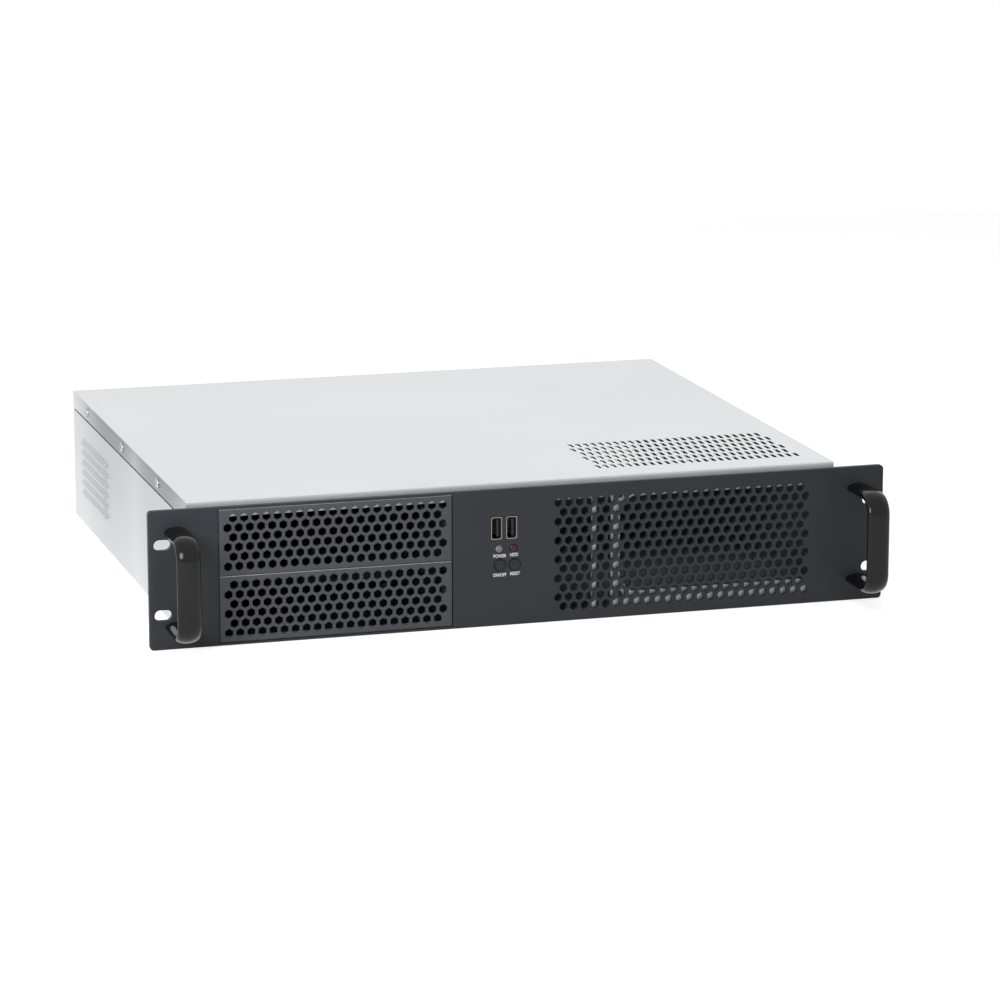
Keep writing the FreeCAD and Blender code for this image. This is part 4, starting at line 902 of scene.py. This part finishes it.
@dataclass
class Ports:
    """Two upright USB ports: a flared plated shell, a black tongue and its contacts."""

    bench: Bench
    outer: Tube = Tube("outer", 2.95, 6.6, 0.6, -0.2, 15.0)
    hollow: Tube = Tube("hollow", 2.6, 6.25, 0.62, -0.4, 13.0)
    neck: float = 0.9
    corner: float = 0.9
    tongue: Sequence[Triple] = ((0.3, 1.4, -5.6), (2.1, 13.0, 5.6))
    contact: Sequence[Triple] = ((0.14, 2.4, -4.3), (0.34, 11.0, -3.3))
    contacts: int = 4
    contact_pitch: float = 2.53

    def build(self) -> None:
        """Model each port and issue its pieces for their CAD nodes."""
        bench = self.bench
        for side, place in PORT_PLACES.items():
            shell = self.tube(self.outer, side, place)
            bench.carve(shell, self.tube(self.hollow, side, place))
            bench.smooth(shell, 40)
            bench.issue(shell, NICKEL, slot="port_nickel", replaces=[f"usb_port_{side}"])
            tongue = self.block_at(f"tongue_{side}", place, self.tongue)
            bench.soften(tongue, 0.2, 2)
            bench.issue(tongue, MOULDED_BLACK, slot="tongue_black", replaces=[f"usb_tongue_{side}"])
            springs = self.block_at(f"contacts_{side}", place, self.contact)
            bench.soften(springs, 0.06, 1)
            bench.repeat(springs, self.contacts, (0, 0, self.contact_pitch))
            bench.issue(springs, GOLD_CONTACT, slot="port_nickel")

    def block_at(self, name: str, place: Pair, corners: Sequence[Triple]) -> bpy.types.Object:
        """Model a block whose corners are given from the middle of its port.

        Args:
            name: Name of the piece.
            place: Middle of the port, across and up.
            corners: Lowest and highest corner.

        Returns:
            The block.
        """
        low, high = ((place[0] + x, y, place[1] + z) for x, y, z in corners)
        return self.bench.block(name, low, high)

    def tube(self, size: Tube, side: str, place: Pair) -> bpy.types.Object:
        """Model one tube with its mouth flared over the panel's window.

        Args:
            size: Its sizes.
            side: Left or right.
            place: Middle of the port, across and up.

        Returns:
            The tube, solid.
        """
        bench = self.bench
        tube = self.block_at(f"shell_{size.name}_{side}", place, (
            (-size.wide, self.neck, -size.tall), (size.wide, size.end, size.tall)))
        bench.pick(tube, "EDGE", runs_back)
        bpy.ops.mesh.bevel(offset=self.corner * MM, segments=4)
        bench.done()
        bench.pick(tube, "FACE", faces_front)
        bench.extrude(size.start - self.neck)
        flare = ((size.wide + size.lip) / size.wide, 1, (size.tall + size.lip) / size.tall)
        bpy.ops.transform.resize(value=flare, center_override=bench.point(place[0], 0, place[1]))
        bench.done()
        return tube


@dataclass(frozen=True)
class Turned:
    """Round part along the depth: sides round it, sizes in mm, and the rounding of its edges."""

    sides: int
    radius: float
    start: float
    length: float
    edge: float = 0.15
    segments: int = 2


@dataclass
class Controls:
    """Lights, buttons and the printed captions under them."""

    bench: Bench
    lens: Turned = Turned(32, 2.5, 0.3, 5.8)
    dome: float = 1.3
    dome_angles: Sequence[float] = (0, 18, 36, 54, 72, 89)
    rim: Turned = Turned(32, 2.9, 5.1, 1.0)
    lead_half: float = 0.25
    lead_apart: float = 1.27
    lead_run: Pair = (5.9, 15.0)
    cap: Turned = Turned(48, 3.6, -0.7, 6.2, 0.35, 3)
    collar: Turned = Turned(32, 4.7, 4.5, 1.2)
    stem: Turned = Turned(16, 1.5, 5.0, 5.4)
    captions: Sequence[tuple[str, float, float]] = (
        ("POWER", -16.6, 44.2), ("HDD", -7.2, 44.5), ("ON/OFF", -16.6, 31.9), ("RESET", -6.6, 32.3))
    letter: float = 2.9
    letter_narrow: float = 0.84
    stroke: float = 0.08
    ink: float = 0.01
    ink_face: float = -0.03

    def build(self) -> None:
        """Model and issue every control."""
        for node, finish, slot in (("power_led", CLEAR_LENS, "lens_clear"),
                                   ("disk_led", RED_LENS, "lens_red")):
            self.bench.issue(self.light(node), finish, slot=slot, replaces=[node])
        for node, body in (("power_button", "power"), ("reset_button", "reset")):
            self.bench.issue(self.button(node), MOULDED_GREY, body=body, slot="button_grey",
                             replaces=[node])
        for text, x, z in self.captions:
            self.caption(text, x, z)

    def turn(self, name: str, shape: Turned, place: Pair) -> bpy.types.Object:
        """Start a turned part at a place on the panel, with sharp edges."""
        return self.bench.rod(name, shape.sides, shape.radius, (place[0], shape.start, place[1]),
                              shape.length, Axis.REAR)

    def eased(self, name: str, shape: Turned, place: Pair) -> bpy.types.Object:
        """Model a turned part with rounded edges."""
        return self.bench.soften(self.turn(name, shape, place), shape.edge, shape.segments)

    def light(self, node: str) -> bpy.types.Object:
        """Model a five millimetre light with a domed end, a rim and two leads."""
        bench, (x, z) = self.bench, LAMP_PLACES[node]
        lens = self.turn(f"domed_{node}", self.lens, (x, z))
        bench.pick(lens, "FACE", faces_front)
        angles = [math.radians(angle) for angle in self.dome_angles]
        for first, last in zip(angles, angles[1:]):
            bench.extrude(-self.dome * (math.sin(last) - math.sin(first)))
            ratio = math.cos(last) / math.cos(first)
            bpy.ops.transform.resize(value=(ratio, 1, ratio), center_override=bench.point(x, 0, z))
        bench.done()
        rim = self.eased("rim", self.rim, (x, z))
        half, (start, end) = self.lead_half, self.lead_run
        leads = [bench.block("lead", (x + off - half, start, z - half), (x + off + half, end, z + half))
                 for off in (-self.lead_apart, self.lead_apart)]
        return bench.smooth(bench.join([lens, rim, *leads]), 50)

    def button(self, node: str) -> bpy.types.Object:
        """Model a round push cap with an eased edge, its collar and its stem."""
        place = BUTTON_PLACES[node]
        return self.bench.join([self.eased(f"round_{node}", self.cap, place),
                                self.eased("collar", self.collar, place),
                                self.eased("stem", self.stem, place)])

    def caption(self, text: str, x: float, z: float) -> None:
        """Print one caption.

        Args:
            text: What it says.
            x: Its centre.
            z: Its base line.
        """
        self.bench.clear()
        bpy.ops.object.text_add(location=self.bench.point(x, self.ink_face, z),
                                rotation=(math.radians(90), 0, 0))
        words = bpy.context.object
        words.data.body = text
        words.data.size = self.letter * MM
        words.scale.x = self.letter_narrow
        words.data.align_x = "CENTER"
        words.data.offset = self.stroke * MM
        words.data.extrude = self.ink * MM
        bpy.ops.object.convert(target="MESH")
        words = bpy.context.object
        words.name = words.data.name = "caption_" + text.replace("/", "_").lower()
        self.bench.settle(words)
        self.bench.issue(words, WHITE_PRINT, slot="panel_paint")


@dataclass(frozen=True)
class ScrewSize:
    """Radius and height of a screw's head, and radius and length of its shank, in mm."""

    head: float
    height: float
    thread: float
    length: float


@dataclass
class Fixings:
    """Pan head screws with a cross recess, one mesh for each set.

    `crown` and `recess` are shares of a head's height, `arm` and `arm_half` of its radius.
    """

    bench: Bench
    lid: Lid
    first_slot: Triple = (24.7, 380.8, 81.1)
    slot_pitch: float = 20.32
    slots: int = 7
    fan: Triple = (-147.0, 388.8, 42.0)
    fan_half: float = 25.0
    inlet: Triple = (-196.0, 389.9, 42.0)
    inlet_half: float = 20.0
    crown: float = 0.45
    recess: float = 0.45
    arm: float = 0.55
    arm_half: float = 0.13

    def build(self) -> None:
        """Model each set of outside screws and issue it for its CAD node."""
        lid = self.lid
        sheet = [(sign * lid.half, y, lid.screw_z, Axis.LEFT if sign < 0 else Axis.RIGHT)
                 for sign in (-1, 1) for y in lid.side_screws]
        sheet += [(x, lid.rear, lid.screw_z, Axis.REAR) for x in lid.rear_screws]
        x, y, z = self.first_slot
        slots = [(x - i * self.slot_pitch, y, z, Axis.UP) for i in range(self.slots)]
        (x, y, z), half = self.fan, self.fan_half
        fan = [(x + u, y, z + v, Axis.REAR) for u in (-half, half) for v in (-half, half)]
        (x, y, z), half = self.inlet, self.inlet_half
        inlet = [(x, y, z + v, Axis.REAR) for v in (-half, half)]
        for node, places, size, finish, slot in (
                ("cover_screws", sheet, ScrewSize(3.1, 1.3, 1.45, 3.4), ZINC_SCREW, "screw_zinc"),
                ("slot_screws", slots, ScrewSize(3.0, 1.6, 1.35, 3.6), ZINC_SCREW, "screw_zinc"),
                ("fan_screws", fan, ScrewSize(3.7, 1.8, 1.9, 9.0), BLACK_SCREW, "screw_black"),
                ("inlet_screws", inlet, ScrewSize(3.1, 1.3, 1.4, 6.0), BLACK_SCREW, "screw_black")):
            first = self.screw(size)
            copies = [self.bench.stand(first, f"cross_{node}", place[:3], place[3]) for place in places]
            self.bench.discard(first)
            self.bench.issue(self.bench.join(copies), finish, slot=slot, replaces=[node])

    def screw(self, size: ScrewSize) -> bpy.types.Object:
        """Model one screw upright, with the underside of its head at the scene's origin.

        Args:
            size: Its sizes.

        Returns:
            The screw.
        """
        bench, start, height = self.bench, -self.bench.front / MM, size.height
        cap = bench.rod("pan_head", 24, size.head, (0, start, 0), height, Axis.UP)
        bench.pick(cap, "FACE", lambda face: face.normal.z > 0.9)
        bpy.ops.mesh.bevel(offset=height * self.crown * MM, segments=3)
        bench.done()
        long, short = size.head * self.arm, size.head * self.arm_half
        floor, clear = height * self.recess, height + OVERRUN
        cross = [bench.block("recess", (-a, start - b, floor), (a, start + b, clear))
                 for a, b in ((long, short), (short, long))]
        for bar in cross:
            bench.carve(cap, bar)
        shank = bench.rod("shank", 12, size.thread, (0, start, -size.length), size.length + SINK, Axis.UP)
        return bench.smooth(bench.join([cap, shank]), 35)


@dataclass
class Dressing:
    """Finishes of the CAD nodes that are shown as they are."""

    zinc: Sequence[str] = ("base_tray", "rear_panel")
    # Nodes inside the case, in the zinc painted darker as painted shade.
    inside: Sequence[str] = ("drive_cage", "slot_rail")
    finishes: dict[str, Finish] = field(default_factory=lambda: {
        "front_frame": ZINC_FRAME_SHADED, "fan_frame": MOULDED_BLACK, "fan_rotor": MOULDED_BLACK,
        "ac_inlet": MOULDED_BLACK, "ac_inlet_pins": NICKEL, "motherboard_standoffs": BRASS,
        "power_switch": MOULDED_BLACK, "reset_switch": MOULDED_BLACK, "io_board": SOLDER_MASK,
        "io_board_posts": BRASS, "io_board_screws": ZINC_SCREW, "handle_screws": ZINC_SCREW,
        "panel_screws": ZINC_SCREW, "cage_screws": ZINC_SCREW})

    def dress(self, nodes: dict[str, bpy.types.Object]) -> None:
        """Give every CAD node its finish.

        Args:
            nodes: CAD nodes by name.
        """
        table = dict(self.finishes)
        table.update({name: ZINC_SHEET for name in self.zinc})
        table.update({name: ZINC_INSIDE_SHADED for name in self.inside})
        for name, node in nodes.items():
            finish = table.get(name, ZINC_INSIDE_SHADED if name.startswith("slot_cover") else POWDER_COAT)
            for slot in node.material_slots:
                slot.material = finish.material()


@dataclass(frozen=True)
class Lamp:
    """Square soft lamp: place and aim in the case frame, side in mm, power in watts."""

    name: str
    place: Triple
    aim: Triple
    side: float
    power: float
    reflected: bool


@dataclass
class Studio:
    """White floor, soft lamps and the camera; sizes of the floor are in metres."""

    bench: Bench
    floor_side: float = 2.7
    floor_drop: float = 0.0003
    floor_glow: float = 0.66
    even_light: float = 0.32
    lamps: Sequence[Lamp] = (
        Lamp("overhead", (-200, -100, 1500), (0, 100, 0), 1400, 9.0, False),
        Lamp("left_wall", (-1500, -700, 450), (0, 0, 20), 1100, 3.4, False),
        Lamp("front_fill", (-750, -700, 480), (-200, 0, 40), 420, 6.0, True))
    eye: Triple = (-734.07, -2432.19, 650.89)
    yaw: float = 16.44
    pitch: float = 12.66
    lens: float = 149.10

    def build(self) -> None:
        """Set the stage round the case."""
        scene = bpy.context.scene
        scene.view_settings.view_transform = "Standard"
        self.floor()
        self.world(scene)
        for lamp in self.lamps:
            self.light(lamp)
        self.camera(scene)

    def floor(self) -> None:
        """Make the pale floor, seen white and keeping the shadow."""
        self.bench.clear()
        bpy.ops.mesh.primitive_plane_add(size=self.floor_side, location=(0, 0, -self.floor_drop))
        plane = bpy.context.object
        plane.name = "studio_floor"
        material = bpy.data.materials.new("pale_floor")
        material.use_nodes = True
        tree = material.node_tree
        tree.nodes.clear()
        seen = seen_rays(tree)
        matt = add_node(tree, "BsdfDiffuse", {"Color": linear("#E6E6E6")})
        glow = add_node(tree, "Emission", {"Color": linear("#FFFFFF"), "Strength": self.floor_glow})
        lift = add_node(tree, "MixShader", {0: seen, 2: glow.outputs[0]})
        total = add_node(tree, "AddShader", {0: matt.outputs[0], 1: lift.outputs[0]})
        add_node(tree, "OutputMaterial", {"Surface": total.outputs[0]})
        plane.data.materials.append(material)
        plane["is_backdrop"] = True

    def world(self, scene: bpy.types.Scene) -> None:
        """Light the scene evenly, and show white behind it."""
        world = bpy.data.worlds.new("studio")
        scene.world = world
        world.use_nodes = True
        tree = world.node_tree
        tree.nodes.clear()
        seen = seen_rays(tree)
        even = add_node(tree, "Background", {"Color": linear("#FFFFFF"), "Strength": self.even_light})
        white = add_node(tree, "Background", {"Color": linear("#FFFFFF"), "Strength": 1.0})
        mixed = add_node(tree, "MixShader", {0: seen, 1: even.outputs[0], 2: white.outputs[0]})
        add_node(tree, "OutputWorld", {"Surface": mixed.outputs[0]})

    def light(self, lamp: Lamp) -> None:
        """Add one lamp; one that is not reflected lights the case but leaves no spot on glossy parts."""
        self.bench.clear()
        here, there = self.bench.point(*lamp.place), self.bench.point(*lamp.aim)
        bpy.ops.object.light_add(type="AREA", location=here)
        added = bpy.context.object
        added.name = lamp.name
        added.rotation_euler = (there - here).to_track_quat("-Z", "Y").to_euler()
        added.data.shape = "SQUARE"
        added.data.size = lamp.side * MM
        added.data.energy = lamp.power
        added.visible_glossy = lamp.reflected

    def camera(self, scene: bpy.types.Scene) -> None:
        """Put the camera at its viewing place."""
        self.bench.clear()
        bpy.ops.object.camera_add(location=self.bench.point(*self.eye))
        camera = bpy.context.object
        turn = (Matrix.Rotation(math.radians(-self.yaw), 3, "Z")
                @ Matrix.Rotation(math.radians(90 - self.pitch), 3, "X"))
        camera.rotation_euler = turn.to_euler()
        camera.data.sensor_width = 36
        camera.data.lens = self.lens
        camera.data.clip_end = 50
        scene.camera = camera


def main() -> None:
    """Build every sub-assembly in order."""
    logging.basicConfig(level=logging.INFO, format="%(message)s")
    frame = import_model()
    bench = Bench()
    Dressing().dress(frame["nodes"])
    FrontPanel(bench).build()
    BayCovers(bench).build()
    Handles(bench).build()
    lid = Lid(bench)
    lid.build()
    Ports(bench).build()
    Controls(bench).build()
    Fixings(bench, lid).build()
    Studio(bench).build()


if __name__ == "__main__":
    main()
